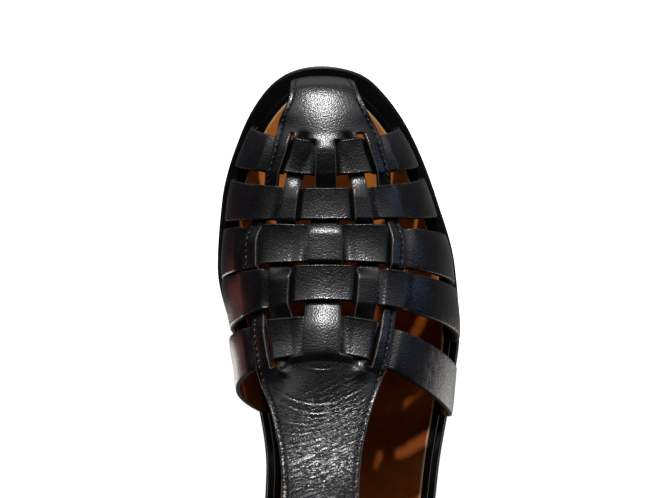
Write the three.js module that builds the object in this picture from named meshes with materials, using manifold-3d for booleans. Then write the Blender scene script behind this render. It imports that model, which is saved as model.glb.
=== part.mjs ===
// A woven fisherman sandal for the right foot, in millimetres.
// +X is the outer (lateral) side, +Y the toe, +Z up; the origin is on the floor under the middle.
import * as THREE from 'three';
import { mergeVertices } from 'three/addons/utils/BufferGeometryUtils.js';
import Module from 'manifold-3d';

const wasm = await Module();
wasm.setup();

// Driving dimensions
const LENGTH = 260;
const BALL_WIDTH = 95;
const HEEL_LIFT = 16;
const TOE_SPRING = 7;
const LEATHER = 2;
const GAP = 0.3;

// Floor contact: the forefoot is flat between these, the toe springs ahead and the arch rises behind
const TREAD_FRONT = 62;
const TREAD_REAR = 20;
const ARCH_REAR = -50;
const HEEL_FRONT = -62;

// Heights of the layers above the underside of the outsole
const OUTSOLE_TOP = 4.5;
const MIDSOLE_TOP = 8.3;
const FOOTBED_TOP = 12.1;
const INSOLE_TOP = 13.6;
const MIDSOLE_INSET = 0.8;
const RIM_WIDTH = 2.8;

// Weave: a strip that passes over rises by this much, a little less than the leather, so the two join
const WEAVE_RISE = 1.5;
const WEAVE_SLOPE = 1.3;
const OUTER_STRIP = 5.2;
const TUCK = 0.35;
const STRAP_EDGE = 0.6;
const SHOULDER = 0.6;
const WALL_RISE = 0.6;

// Ankle strap, buckle and keeper
const STRAP_WIDTH = 13;
const ANKLE = { x: -2.25, y: -85, z: 87.5, halfWidth: 31, halfLength: 40, sway: -4.25, tilt: 13.5 };
const LEAN = { front: 40, back: 84, startsAt: -0.1 };
const LOOP_HALF_ANGLE = 26;
const LOOP_CLEAR = 12;
const COUNTER_START = 84;
const COUNTER_FULL = 108;
const COUNTER_REACH = 0.34;
const COUNTER_BULGE = 2.2;
const COUNTER_DRAW_IN = 0.4;
const COUNTER_FOOT = 0.12;
const COUNTER_SPANS = 64;
const COUNTER_ROWS = 6;
const BUCKLE = { front: 38, heelBar: 61, wire: 1.2, side: 1.5, corner: 3, prong: 0.9 };
const WIRE_SIDES = 8;
const KEEPER = { from: 69, to: 77, clear: 3, leather: 1.5 };
const TIP = { from: 46, climb: 4, crest: 61, down: 67, taper: 5, end: 92, width: 0.92, point: 0.45 };

// A table with named columns, as one object for each row
function table(columns, rows) {
  return rows.map((row) => Object.fromEntries(columns.map((name, i) => [name, row[i]])));
}

// Sole outline: shares of the length from the heel, and of the ball width either side of the middle line;
// ledge is how far the footbed stands in from the edge
const SOLE_ROWS = table(['along', 'medial', 'lateral', 'ledge'], [
  [0.000, 0.021, 0.021, 4.4],
  [0.035, -0.179, 0.221, 4.4],
  [0.100, -0.295, 0.335, 4.2],
  [0.200, -0.326, 0.368, 3.8],
  [0.300, -0.311, 0.379, 3.5],
  [0.400, -0.297, 0.406, 3.4],
  [0.500, -0.337, 0.456, 3.6],
  [0.600, -0.438, 0.497, 4.0],
  [0.700, -0.500, 0.478, 4.4],
  [0.800, -0.481, 0.404, 5.0],
  [0.900, -0.402, 0.294, 5.6],
  [0.960, -0.308, 0.181, 6.6],
  [0.985, -0.232, 0.103, 7.3],
  [1.000, -0.074, -0.074, 7.5],
]);

// The last under the upper, a row for each section from toe to ankle: the ridge, where the section meets
// the sole on either side, how far each wall flares out and rakes forward, and how wide the top lies flat
const LAST_COLUMNS = ['x', 'y', 'z', 'medialY', 'lateralY', 'flareM', 'flareL', 'rakeM', 'rakeL', 'spread'];
const LAST_ROWS = table(['name', ...LAST_COLUMNS], [
  ['toe tip', -7, 122.8, 14.3, 122.8, 122.8, 2, 2, 0.3, 0.3, 0],
  ['toe wall', -7, 123.3, 22, 121.8, 121.8, 2, 2, 0.3, 0.3, 6],
  ['toe shoulder', -6.7, 120, 33.2, 118.6, 118.6, 2, 2, 0.3, 0.3, 14],
  ['toe top', -6, 111.8, 38.9, 112.9, 112.6, 3, 3, 0.3, 0.3, 16],
  ['strap 1 front', -5.2, 99, 43.6, 106.1, 105.5, 4, 3.5, 0.3, 0.3, 0],
  ['strap 1 rear', -5, 86.3, 46.2, 91, 90.6, 4, 3.5, 0.3, 0.3, 0],
  ['strap 2 front', -5, 81.1, 47.4, 85.9, 86.2, 2.5, 4, 0.3, 0.3, 0],
  ['strap 2 rear', -5.2, 69.3, 50.3, 69.6, 70.9, 2, 3.5, 0.3, 0.3, 0],
  ['strap 3 front', -5.2, 67.8, 50.7, 66.3, 63, 2, 5, 0.3, 0.3, 0],
  ['strap 3 rear', -5.5, 53.9, 54.7, 46.8, 44.3, 2.5, 4.5, 0.3, 0.3, 0],
  ['strap 4 front', -5.5, 52.4, 55.2, 45.8, 41.5, 3.5, 5.5, 0.3, 0.3, 0],
  ['strap 4 rear', -6, 39.4, 59.1, 25.6, 22.7, 9, 7, 0.3, 0.3, 0],
  ['strap 5 front', -6.1, 34.2, 60.8, 22, 11, 13, 8, 0.3, 0.15, 0],
  ['strap 5 rear', -6.5, 20.5, 65.3, -4.5, -5.2, 26, 10, 0.55, -0.1, 0],
  ['instep', -6.7, 0, 69.9, -24, -24, 24, 12, 0, 0, 36],
  ['bar middle', -6.8, -18, 77.4, -38, -38, 20, 12, 0.1, 0.1, 42],
  ['bar end', -6.6, -40.5, 96.5, -52, -52, 16, 12, 0.2, 0.2, 12],
]);

// The vamp leather in plan, by distance along the foot: its half widths and the edges of its strips,
// measured from the ridge
const VAMP_COLUMNS = ['halfM', 'halfL', 'centre', 'innerFrom', 'innerTo'];
const VAMP_ROWS = table(['y', ...VAMP_COLUMNS], [
  [125, 10.6, 11.2, 3.2, 3.7, 10.4],
  [116, 12, 13.6, 3.2, 3.7, 10.4],
  [107.5, 16, 16.9, 3.2, 3.7, 10.4],
  [102, 17.3, 18.9, 3.2, 3.9, 11],
  [96, 18.6, 20.4, 3.4, 5.2, 12.6],
  [87, 21.8, 23.4, 3.7, 8.7, 14.2],
  [75, 25.8, 26.4, 4.5, 10.2, 16.2],
  [62, 29.3, 29.2, 6.2, 11.2, 18.8],
  [45, 28.6, 28.8, 6.4, 12.1, 20.2],
  [32, 26.2, 26.5, 6.5, 11.4, 19.4],
  [25, 24.7, 24.9, 6.5, 10.6, 18.4],
  [18, 23.3, 23.5, 6.5, 9.6, 17],
  [10, 21.8, 21.4, 6.5, 9, 15],
  [0, 18.2, 18.2, 6, 8, 11],
  [-8, 16.2, 16.2, 6, 8, 10],
  [-16, 14.6, 14.6, 6, 8, 9],
  [-31, 13.4, 13.4, 6, 8, 9],
  [-60, 13.2, 13.2, 6, 8, 9],
]);

const STRAP_COUNT = 5;
const SIDES = [-1, 1];

// Curves and numbers
const lerp = THREE.MathUtils.lerp;
const clamp = THREE.MathUtils.clamp;
const smooth = THREE.MathUtils.smoothstep;
const radians = THREE.MathUtils.degToRad;
const steps = (count) => Array.from({ length: count + 1 }, (_, i) => i / count);

// A curve through (xs, ys) that never overshoots its points
function monotoneCurve(xs, ys) {
  const last = xs.length - 1;
  const slopes = xs.slice(1).map((x, i) => (ys[i + 1] - ys[i]) / (x - xs[i]));
  const tangents = xs.map((_, i) => {
    if (i === 0) return slopes[0];
    if (i === last) return slopes[last - 1];
    const [before, after] = [slopes[i - 1], slopes[i]];
    return before * after <= 0 ? 0 : (2 * before * after) / (before + after);
  });
  return (x) => {
    const inside = clamp(x, xs[0], xs[last]);
    let i = 0;
    while (i < last - 1 && inside > xs[i + 1]) i += 1;
    const width = xs[i + 1] - xs[i];
    const t = (inside - xs[i]) / width;
    const [t2, t3] = [t * t, t * t * t];
    return (2 * t3 - 3 * t2 + 1) * ys[i] + (t3 - 2 * t2 + t) * width * tangents[i]
      + (3 * t2 - 2 * t3) * ys[i + 1] + (t3 - t2) * width * tangents[i + 1];
  };
}

// One curve for each named column of a table
function curves(rows, places, columns) {
  const column = (name) => monotoneCurve(places, rows.map((row) => row[name]));
  return Object.fromEntries(columns.map((name) => [name, column(name)]));
}

// Where a rising or falling function of 0..1 crosses zero
function crossing(value) {
  let [low, high] = [0, 1];
  const rising = value(1) > value(0);
  for (let i = 0; i < 40; i += 1) {
    const middle = (low + high) / 2;
    if (value(middle) > 0 === rising) high = middle;
    else low = middle;
  }
  return (low + high) / 2;
}

// Meshes
function closedGeometry(positions, triangles) {
  const geometry = new THREE.BufferGeometry();
  geometry.setAttribute('position', new THREE.Float32BufferAttribute(positions, 3));
  geometry.setIndex(triangles);
  const merged = mergeVertices(geometry, 1e-3);
  const index = merged.index.array;
  const point = merged.attributes.position;
  const kept = [];
  let volume = 0;
  const [a, b, c] = [new THREE.Vector3(), new THREE.Vector3(), new THREE.Vector3()];
  for (let i = 0; i < index.length; i += 3) {
    const corners = [index[i], index[i + 1], index[i + 2]];
    if (new Set(corners).size < 3) continue;
    kept.push(...corners);
    a.fromBufferAttribute(point, corners[0]);
    b.fromBufferAttribute(point, corners[1]);
    c.fromBufferAttribute(point, corners[2]);
    volume += a.dot(b.cross(c));
  }
  if (volume < 0) kept.reverse();
  merged.setIndex(kept);
  return merged;
}

// A closed wall with two faces: point(u, v, face) for each u and v, face 0 inside and 1 outside
function wall(point, us, vs, ring = false) {
  const positions = [];
  const triangles = [];
  const place = (i, j, face) => (face * us.length + (ring ? i % us.length : i)) * vs.length + j;
  const quad = (p, q, r, s) => triangles.push(p, q, r, p, r, s);
  for (const face of [0, 1]) {
    us.forEach((u) => vs.forEach((v) => positions.push(...point(u, v, face).toArray())));
  }
  const spans = ring ? us.length : us.length - 1;
  const top = vs.length - 1;
  for (let i = 0; i < spans; i += 1) {
    for (let j = 0; j < top; j += 1) {
      quad(place(i, j, 1), place(i + 1, j, 1), place(i + 1, j + 1, 1), place(i, j + 1, 1));
      quad(place(i, j, 0), place(i, j + 1, 0), place(i + 1, j + 1, 0), place(i + 1, j, 0));
    }
    quad(place(i, 0, 0), place(i + 1, 0, 0), place(i + 1, 0, 1), place(i, 0, 1));
    quad(place(i, top, 0), place(i, top, 1), place(i + 1, top, 1), place(i + 1, top, 0));
  }
  if (!ring) {
    for (let j = 0; j < top; j += 1) {
      quad(place(0, j, 0), place(0, j, 1), place(0, j + 1, 1), place(0, j + 1, 0));
      quad(place(spans, j, 0), place(spans, j + 1, 0), place(spans, j + 1, 1), place(spans, j, 1));
    }
  }
  return closedGeometry(positions, triangles);
}

// A closed skin through rings of points, flat at both ends, or closed on itself
function skin(rings, loop = false) {
  const around = rings[0].length;
  const positions = rings.flat().flatMap((p) => p.toArray());
  const triangles = [];
  const place = (i, j) => (i % rings.length) * around + (j % around);
  const spans = loop ? rings.length : rings.length - 1;
  for (let i = 0; i < spans; i += 1) {
    for (let j = 0; j < around; j += 1) {
      triangles.push(place(i, j), place(i + 1, j), place(i + 1, j + 1));
      triangles.push(place(i, j), place(i + 1, j + 1), place(i, j + 1));
    }
  }
  if (!loop) {
    const end = rings.length - 1;
    for (let j = 1; j < around - 1; j += 1) {
      triangles.push(place(0, 0), place(0, j), place(0, j + 1));
      triangles.push(place(end, 0), place(end, j + 1), place(end, j));
    }
  }
  return closedGeometry(positions, triangles);
}

function solid(geometry) {
  return new wasm.Manifold(new wasm.Mesh({
    numProp: 3,
    vertProperties: new Float32Array(geometry.attributes.position.array),
    triVerts: new Uint32Array(geometry.index.array),
  }));
}

function geometryOf(manifold) {
  const mesh = manifold.getMesh();
  const geometry = new THREE.BufferGeometry();
  geometry.setAttribute('position', new THREE.Float32BufferAttribute(mesh.vertProperties, 3));
  geometry.setIndex(Array.from(mesh.triVerts));
  return geometry;
}

const joined = (geometries) => geometries.map(solid).reduce((whole, piece) => whole.add(piece));

// Sole
const SOLE_STATIONS = 46;
const turnAt = (along) => Math.acos(1 - 2 * along) / Math.PI;
const sole = curves(SOLE_ROWS, SOLE_ROWS.map((row) => turnAt(row.along)), ['medial', 'lateral', 'ledge']);

function ground(y) {
  const spring = TOE_SPRING * (Math.max(0, y - TREAD_FRONT) / (LENGTH / 2 - TREAD_FRONT)) ** 2;
  return spring + HEEL_LIFT * smooth(TREAD_REAR - y, 0, TREAD_REAR - ARCH_REAR);
}

// A point of the outline, moved in from the edge; turn runs from 0 at the heel to 1 at the toe
function rail(side, turn, inset) {
  const name = side < 0 ? 'medial' : 'lateral';
  const h = 1e-3;
  const [before, after] = [Math.max(0, turn - h), Math.min(1, turn + h)];
  const dx = (BALL_WIDTH * (sole[name](after) - sole[name](before))) / (after - before);
  const dy = (LENGTH * Math.PI * Math.sin(Math.PI * turn)) / 2;
  const size = Math.hypot(dx, dy);
  const out = new THREE.Vector2(dy * side, -dx * side).divideScalar(size);
  const y = (-LENGTH * Math.cos(Math.PI * turn)) / 2;
  return { x: BALL_WIDTH * sole[name](turn) - out.x * inset, y: y - out.y * inset, out };
}

// A layer of the sole: edge rows of inset and height, from the bottom up, mirrored on both sides
function layer(edge, insetAt, heightAt, lastTurn = 1) {
  const rings = steps(SOLE_STATIONS).map((share) => {
    const turn = share * lastTurn;
    const edgePoint = (side, row) => {
      const p = rail(side, turn, row.inset + insetAt(turn));
      return new THREE.Vector3(p.x, p.y, heightAt(p.y, row.height));
    };
    return [...edge.map((row) => edgePoint(-1, row)), ...edge.map((row) => edgePoint(1, row)).reverse()];
  });
  return skin(rings);
}

const fromGround = (y, height) => ground(y) + height;
const atEdge = () => 0;
const atLedge = (turn) => sole.ledge(turn);

const outsole = layer([
  { inset: 1, height: 0 },
  { inset: 0, height: 1 },
  { inset: 0, height: OUTSOLE_TOP - 0.7 },
  { inset: 0.6, height: OUTSOLE_TOP },
], atEdge, fromGround);

const midsole = layer([
  { inset: MIDSOLE_INSET + 0.5, height: OUTSOLE_TOP + GAP },
  { inset: MIDSOLE_INSET, height: OUTSOLE_TOP + GAP + 0.6 },
  { inset: MIDSOLE_INSET, height: MIDSOLE_TOP - 0.5 },
  { inset: MIDSOLE_INSET + 0.4, height: MIDSOLE_TOP },
], atEdge, fromGround);

const footbed = layer([
  { inset: 0, height: MIDSOLE_TOP + GAP },
  { inset: 0, height: FOOTBED_TOP - 0.9 },
  { inset: 0.3, height: FOOTBED_TOP - 0.3 },
  { inset: 1, height: FOOTBED_TOP },
], atLedge, fromGround);

const insole = layer([
  { inset: RIM_WIDTH, height: FOOTBED_TOP + GAP },
  { inset: RIM_WIDTH, height: INSOLE_TOP - 0.4 },
  { inset: RIM_WIDTH + 0.6, height: INSOLE_TOP },
], atLedge, fromGround);

const heel = layer([
  { inset: 3, height: 0 },
  { inset: 2.4, height: 0.8 },
  { inset: 0.6, height: HEEL_LIFT - GAP },
], atEdge, (y, height) => height, turnAt(0.5 + HEEL_FRONT / LENGTH));

// Last
const FEATHER_LIFT = MIDSOLE_TOP + GAP;
const TOE_POINT = 1.5;
const WALL_FOOT = 0.88;
const ridgeLengths = LAST_ROWS.reduce((lengths, row, i) => {
  if (i === 0) return [0];
  const previous = LAST_ROWS[i - 1];
  const step = Math.hypot(row.x - previous.x, row.y - previous.y, row.z - previous.z);
  return [...lengths, lengths[i - 1] + step];
}, []);
const last = curves(LAST_ROWS, ridgeLengths, LAST_COLUMNS);
const placeOf = (name) => ridgeLengths[LAST_ROWS.findIndex((row) => row.name === name)];
const BAR_END = placeOf('bar end');

// Where the last meets the sole, just outside the footbed
function feather(side, y) {
  const at = (turn) => rail(side, turn, sole.ledge(turn) - GAP);
  const turn = crossing((t) => at(t).y - y);
  const p = at(turn);
  return { point: new THREE.Vector3(p.x, p.y, ground(p.y) + FEATHER_LIFT), out: p.out };
}

// One section of the last, as the two curves from its ridge to its feather edges
function section(s) {
  const ridge = new THREE.Vector3(last.x(s), last.y(s), last.z(s));
  const halves = SIDES.map((side) => {
    const [edgeY, flare, rake] = side < 0
      ? [last.medialY, last.flareM, last.rakeM]
      : [last.lateralY, last.flareL, last.rakeL];
    const { point, out } = feather(side, edgeY(s));
    const shoulder = ridge.clone();
    shoulder.x += side * Math.hypot(SHOULDER * (point.x - ridge.x), last.spread(s));
    const knee = point.clone();
    knee.x += side * flare(s);
    knee.y += rake(s) * (ridge.y - point.y);
    knee.z += WALL_RISE * (ridge.z - point.z);
    return { curve: new THREE.CubicBezierCurve3(ridge, shoulder, knee, point), out };
  });
  return { ridge, halves };
}

const sections = new Map();
function sectionAt(s) {
  const key = clamp(s, 0, BAR_END).toFixed(4);
  if (!sections.has(key)) sections.set(key, section(Number(key)));
  return sections.get(key);
}

// A point of the last: s along the ridge, v from -1 at the medial edge to 1 at the lateral edge
function lastPoint(s, v) {
  return sectionAt(s).halves[v < 0 ? 0 : 1].curve.getPoint(Math.abs(v));
}

// The way out of the last, level with the floor where the wall stands on the sole
function lastNormal(s, v) {
  const [ds, dv] = [0.4, 0.01];
  const at = clamp(s, TOE_POINT, BAR_END);
  const along = lastPoint(at + ds, v).sub(lastPoint(at - ds, v));
  const across = lastPoint(at, clamp(v + dv, -1, 1)).sub(lastPoint(at, clamp(v - dv, -1, 1)));
  const normal = along.cross(across).normalize();
  const { out } = sectionAt(at).halves[v < 0 ? 0 : 1];
  const level = new THREE.Vector3(out.x, out.y, 0);
  return normal.lerp(level, smooth(Math.abs(v), WALL_FOOT, 1)).normalize();
}

// A point of the upper, at a height off the last and never below the ledge that it stands on
function offLast(s, v, height) {
  const p = lastPoint(s, v).addScaledVector(lastNormal(s, v), height);
  p.z = Math.max(p.z, ground(p.y) + FEATHER_LIFT);
  return p;
}

// Vamp: plan widths turned into places across a section
const vampRows = [...VAMP_ROWS].reverse();
const vamp = curves(vampRows, vampRows.map((row) => row.y), VAMP_COLUMNS);
const vampEdge = (side) => (side < 0 ? vamp.halfM : vamp.halfL);
const outerFrom = (side) => (y) => vampEdge(side)(y) - OUTER_STRIP;

function across(s, side, width) {
  const { ridge, halves } = sectionAt(s);
  const { curve } = halves[side < 0 ? 0 : 1];
  const beyond = (t) => {
    const p = curve.getPoint(t);
    return Math.abs(p.x - ridge.x) - width(p.y);
  };
  return beyond(1) < 0 ? side : side * crossing(beyond);
}

const strapSpan = (k) => [placeOf(`strap ${k} front`), placeOf(`strap ${k} rear`)];
const straps = Array.from({ length: STRAP_COUNT }, (_, i) => i + 1);

// The centre and outer strips pass over the odd straps, the inner strips over the even ones
const stripOver = (k, strip) => (k % 2 === 1) === (strip !== 'inner');

// A strap across the foot, raised where a strip passes under it
function crossStrap(k) {
  const [front, rear] = strapSpan(k);
  const raised = (strip) => (stripOver(k, strip) ? 0 : 1);
  const betweenCentre = (y) => (vamp.centre(y) + vamp.innerFrom(y)) / 2;
  const half = (side) => {
    const betweenOuter = (y) => (vamp.innerTo(y) + outerFrom(side)(y)) / 2;
    return [
      { width: (y) => betweenCentre(y) - WEAVE_SLOPE, level: raised('centre') },
      { width: (y) => betweenCentre(y) + WEAVE_SLOPE, level: raised('inner') },
      { width: (y) => (betweenCentre(y) + betweenOuter(y)) / 2, level: raised('inner') },
      { width: (y) => betweenOuter(y) - WEAVE_SLOPE, level: raised('inner') },
      { width: (y) => betweenOuter(y) + WEAVE_SLOPE, level: raised('outer') },
      { width: vampEdge(side), level: raised('outer') },
      { width: (y) => vampEdge(side)(y) + 2 * WEAVE_SLOPE, level: 0 },
    ];
  };
  const wallShares = [0.2, 0.4, 0.6, 0.8, 0.93, 1];
  const row = (s, side) => {
    const inner = half(side).map(({ width, level }) => ({ v: across(s, side, width), level }));
    const edge = inner[inner.length - 1].v;
    return [...inner, ...wallShares.map((share) => ({ v: lerp(edge, side, share), level: 0 }))];
  };
  const nodes = [0, 0.5, 1].map((w) => {
    const s = lerp(front, rear, w);
    const stops = [...row(s, -1).reverse(), { v: 0, level: raised('centre') }, ...row(s, 1)];
    return stops.map((stop) => ({ s, ...stop }));
  });
  const point = (i, j, face) => {
    const { s, v, level } = nodes[j][i];
    return offLast(s, v, level * WEAVE_RISE + face * LEATHER);
  };
  return wall(point, nodes[0].map((_, i) => i), [0, 1, 2]);
}

// Where the toe piece ends and the instep bar begins, short of the first and behind the last strap
const SLIT_LENGTH = 2;
const STRIP_ROOT = 4;
const TOE_PIECE_END = placeOf('strap 1 front') - SLIT_LENGTH;
const BAR_START = placeOf('strap 5 rear') + SLIT_LENGTH;

// A lengthwise strip between two edges, each a side and a plan width, passing over and under the straps
function strip(kind, from, to) {
  const root = (s) => ({ s, low: TUCK, high: LEATHER - TUCK });
  const woven = straps.flatMap((k) => {
    const [front, rear] = strapSpan(k);
    const low = stripOver(k, kind) ? WEAVE_RISE : 0;
    const places = [front + STRAP_EDGE, (front + rear) / 2, rear - STRAP_EDGE];
    return places.map((s) => ({ s, low, high: low + LEATHER }));
  });
  const nodes = [root(TOE_PIECE_END - STRIP_ROOT), root(TOE_PIECE_END - TUCK), ...woven,
    root(BAR_START + TUCK), root(BAR_START + STRIP_ROOT)];
  const point = (i, share, face) => {
    const { s, low, high } = nodes[i];
    const v = lerp(across(s, from.side, from.width), across(s, to.side, to.width), share);
    return offLast(s, v, face ? high : low);
  };
  return wall(point, nodes.map((_, i) => i), [0, 0.5, 1]);
}

// Part of the vamp leather that is whole from edge to edge
function panel(from, to, spans, shares) {
  const point = (u, w, face) => {
    const s = lerp(from, to, u);
    const v = w < 0.5
      ? lerp(across(s, -1, vampEdge(-1)), 0, 2 * w)
      : lerp(0, across(s, 1, vampEdge(1)), 2 * w - 1);
    return offLast(s, v, face * LEATHER);
  };
  return wall(point, steps(spans), steps(shares));
}

// Ankle strap: an ellipse round the ankle, angle 0 at the front and 90 on the lateral side
function strapFrame(angle) {
  const a = radians(angle);
  const [cos, sin] = [Math.cos(a), Math.sin(a)];
  const centre = new THREE.Vector3(
    ANKLE.x + ANKLE.sway * cos + ANKLE.halfWidth * sin,
    ANKLE.y + ANKLE.halfLength * cos,
    ANKLE.z + ANKLE.tilt * cos,
  );
  const radial = new THREE.Vector3(sin / ANKLE.halfWidth, cos / ANKLE.halfLength, 0).normalize();
  const lean = radians(lerp(LEAN.back, LEAN.front, smooth(cos, LEAN.startsAt, 1)));
  const up = radial.clone().multiplyScalar(-Math.cos(lean));
  up.z = Math.sin(lean);
  const out = radial.clone().multiplyScalar(Math.sin(lean));
  out.z = Math.cos(lean);
  return { centre, up, out, radial };
}

function strapPoint(angle, width, height) {
  const { centre, up, out } = strapFrame(angle);
  return centre.addScaledVector(up, width).addScaledVector(out, height);
}

// A block that follows the ankle strap, between two heights above its inner face
function strapBlock(from, to, halfWidth, low, high, spans) {
  const point = (u, w, face) => {
    const width = lerp(-halfWidth, halfWidth, w);
    return strapPoint(lerp(from, to, u), width, face ? high : low);
  };
  return wall(point, steps(spans), [0, 1]);
}

const strapHalf = STRAP_WIDTH / 2;

// Heel counter and ankle strap: one wall whose lower edge drops to the sole behind the ankle
function counterPoint(angle, w) {
  const { radial } = strapFrame(angle);
  const top = strapPoint(angle, strapHalf, 0);
  const strapEdge = strapPoint(angle, -strapHalf, 0);
  const [around, side] = angle <= 180 ? [angle, 1] : [360 - angle, -1];
  const share = smooth(around, COUNTER_START, COUNTER_FULL);
  const turn = (COUNTER_REACH * (180 - around)) / (180 - COUNTER_FULL);
  const p = rail(side, clamp(turn, 0, 1), sole.ledge(turn) - GAP);
  const foot = new THREE.Vector3(p.x, p.y, ground(p.y) + FEATHER_LIFT);
  const level = new THREE.Vector3(p.out.x, p.out.y, 0);
  const bottom = strapEdge.lerp(foot, share);
  const bulge = COUNTER_BULGE * share * Math.sin(Math.PI * w) * (1 - COUNTER_DRAW_IN * w);
  return { point: bottom.lerp(top, w).addScaledVector(radial, bulge), level, share };
}

function counterWall(angle, w, face) {
  const { point, level, share } = counterPoint(angle, w);
  const [da, dw] = [0.5, 0.01];
  const along = counterPoint(angle + da, w).point.sub(counterPoint(angle - da, w).point);
  const upward = counterPoint(angle, clamp(w + dw, 0, 1)).point
    .sub(counterPoint(angle, clamp(w - dw, 0, 1)).point);
  const normal = upward.cross(along).normalize();
  normal.lerp(level, share * (1 - smooth(w, 0, COUNTER_FOOT))).normalize();
  return point.addScaledVector(normal, face * LEATHER);
}

// The strap's tip: it leaves the strap, climbs over the buckle's bar and lies down to its end
function strapTip() {
  const clearBar = LEATHER + GAP + 2 * BUCKLE.wire + GAP;
  const rows = [
    { angle: TIP.from, height: TUCK },
    { angle: TIP.from + TIP.climb, height: LEATHER - TUCK },
    { angle: TIP.crest - TIP.climb, height: clearBar },
    { angle: TIP.crest, height: clearBar + TUCK },
    { angle: TIP.crest + TIP.climb, height: clearBar },
    { angle: TIP.down, height: LEATHER - TUCK },
    { angle: (TIP.down + TIP.end) / 2, height: LEATHER - TUCK },
    { angle: TIP.end - TIP.taper, height: LEATHER - TUCK },
    { angle: TIP.end, height: LEATHER - TUCK },
  ];
  const narrow = (i) => (i === rows.length - 1 ? TIP.point : TIP.width);
  const point = (i, w, face) => {
    const { angle, height } = rows[i];
    const half = strapHalf * narrow(i);
    return strapPoint(angle, lerp(-half, half, w), height + face * LEATHER);
  };
  return wall(point, rows.map((_, i) => i), [0, 0.5, 1]);
}

// A round wire along points, each with its own upward direction
function wire(places, radius, sides, loop) {
  const rings = places.map(({ point, up }, i) => {
    const next = places[loop ? (i + 1) % places.length : Math.min(i + 1, places.length - 1)].point;
    const previous = places[loop ? (i + places.length - 1) % places.length : Math.max(i - 1, 0)].point;
    const along = next.clone().sub(previous).normalize();
    const sideways = along.clone().cross(up).normalize();
    const rise = sideways.clone().cross(along);
    return steps(sides).slice(1).map((turn) => {
      const a = 2 * Math.PI * turn;
      const rim = point.clone().addScaledVector(sideways, radius * Math.cos(a));
      return rim.addScaledVector(rise, radius * Math.sin(a));
    });
  });
  return skin(rings, loop);
}

const BAR_HEIGHT = LEATHER + GAP + BUCKLE.wire;

// The buckle's frame: a rounded rectangle of wire lying on the strap
function buckleFrame() {
  const { front, heelBar, wire: radius, side, corner } = BUCKLE;
  const perDegree = strapPoint(front, 0, 0).distanceTo(strapPoint(heelBar, 0, 0)) / (heelBar - front);
  const halfWidth = strapHalf + side + radius;
  const turn = corner / perDegree;
  const corners = [
    { angle: heelBar - turn, width: halfWidth - corner, start: 0 },
    { angle: front + turn, width: halfWidth - corner, start: 90 },
    { angle: front + turn, width: -halfWidth + corner, start: 180 },
    { angle: heelBar - turn, width: -halfWidth + corner, start: 270 },
  ];
  const bends = corners.flatMap(({ angle, width, start }) => steps(4).map((share) => {
    const a = radians(start + 90 * share);
    return { angle: angle + turn * Math.cos(a), width: width + corner * Math.sin(a) };
  }));
  const between = (p, q) => steps(3).slice(0, -1).map((share) => ({
    angle: lerp(p.angle, q.angle, share), width: lerp(p.width, q.width, share),
  }));
  const path = bends.flatMap((bend, i) => {
    const next = bends[(i + 1) % bends.length];
    return i % 5 === 4 ? between(bend, next) : [bend];
  });
  return wire(path.map(({ angle, width }) => ({
    point: strapPoint(angle, width, BAR_HEIGHT), up: strapFrame(angle).out,
  })), radius, WIRE_SIDES, true);
}

// The prong: it starts at the bar, passes through the tip and rests on the front of the frame
function prongPath() {
  const { front, heelBar, wire: radius, prong } = BUCKLE;
  const rise = 2 * radius;
  const rows = [
    { angle: heelBar - 3.6, height: BAR_HEIGHT },
    { angle: heelBar - 7, height: BAR_HEIGHT + rise * 0.55 },
    { angle: (front + heelBar) / 2 - 2, height: BAR_HEIGHT + rise + 0.2 },
    { angle: front + 4, height: BAR_HEIGHT + rise },
    { angle: front, height: BAR_HEIGHT + radius + GAP + prong },
    { angle: front - 3, height: BAR_HEIGHT + radius + GAP },
  ];
  return rows.map(({ angle, height }) => ({
    point: strapPoint(angle, 0, height),
    up: strapFrame(angle).up,
  }));
}

// The upper: toe piece, strips, straps, instep bar and its loop, open where the ankle strap runs through
function upperSolid() {
  const strips = SIDES.flatMap((side) => [
    strip('inner', { side, width: vamp.innerFrom }, { side, width: vamp.innerTo }),
    strip('outer', { side, width: outerFrom(side) }, { side, width: vampEdge(side) }),
  ]);
  const sleeve = LEATHER + GAP;
  const reach = LOOP_HALF_ANGLE;
  const past = LOOP_HALF_ANGLE + LOOP_CLEAR;
  const loop = strapBlock(-reach, reach, strapHalf + sleeve, -sleeve, LEATHER + sleeve, 10);
  const tunnel = strapBlock(-past, past, strapHalf + GAP, -GAP, LEATHER + GAP, 14);
  const pieces = [
    panel(0, TOE_PIECE_END, 9, 10),
    panel(BAR_START, BAR_END, 9, 8),
    strip('centre', { side: -1, width: vamp.centre }, { side: 1, width: vamp.centre }),
    ...strips,
    ...straps.map(crossStrap),
    loop,
  ];
  return joined(pieces).subtract(solid(tunnel));
}

// Assembly
const BLACK_LEATHER = new THREE.MeshStandardMaterial({ color: 0x161516, roughness: 0.42 });
const BLACK_SOLE = new THREE.MeshStandardMaterial({ color: 0x0d0d0e, roughness: 0.6 });
const TAN_LINING = new THREE.MeshStandardMaterial({ color: 0xb06a30, roughness: 0.55 });
const STEEL = new THREE.MeshStandardMaterial({ color: 0xb9b9b6, roughness: 0.3, metalness: 1 });

const sandal = new THREE.Group();
function addPiece(name, geometry, material) {
  const mesh = new THREE.Mesh(geometry, material);
  mesh.name = name;
  sandal.add(mesh);
}

const counterAngles = steps(COUNTER_SPANS).slice(0, -1).map((share) => 360 * share);
const counterRing = wall(counterWall, counterAngles, steps(COUNTER_ROWS), true);
const prongSlot = wire(prongPath(), BUCKLE.prong + GAP, WIRE_SIDES, false);
const backQuarter = joined([counterRing, strapTip()]).subtract(solid(prongSlot));

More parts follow.
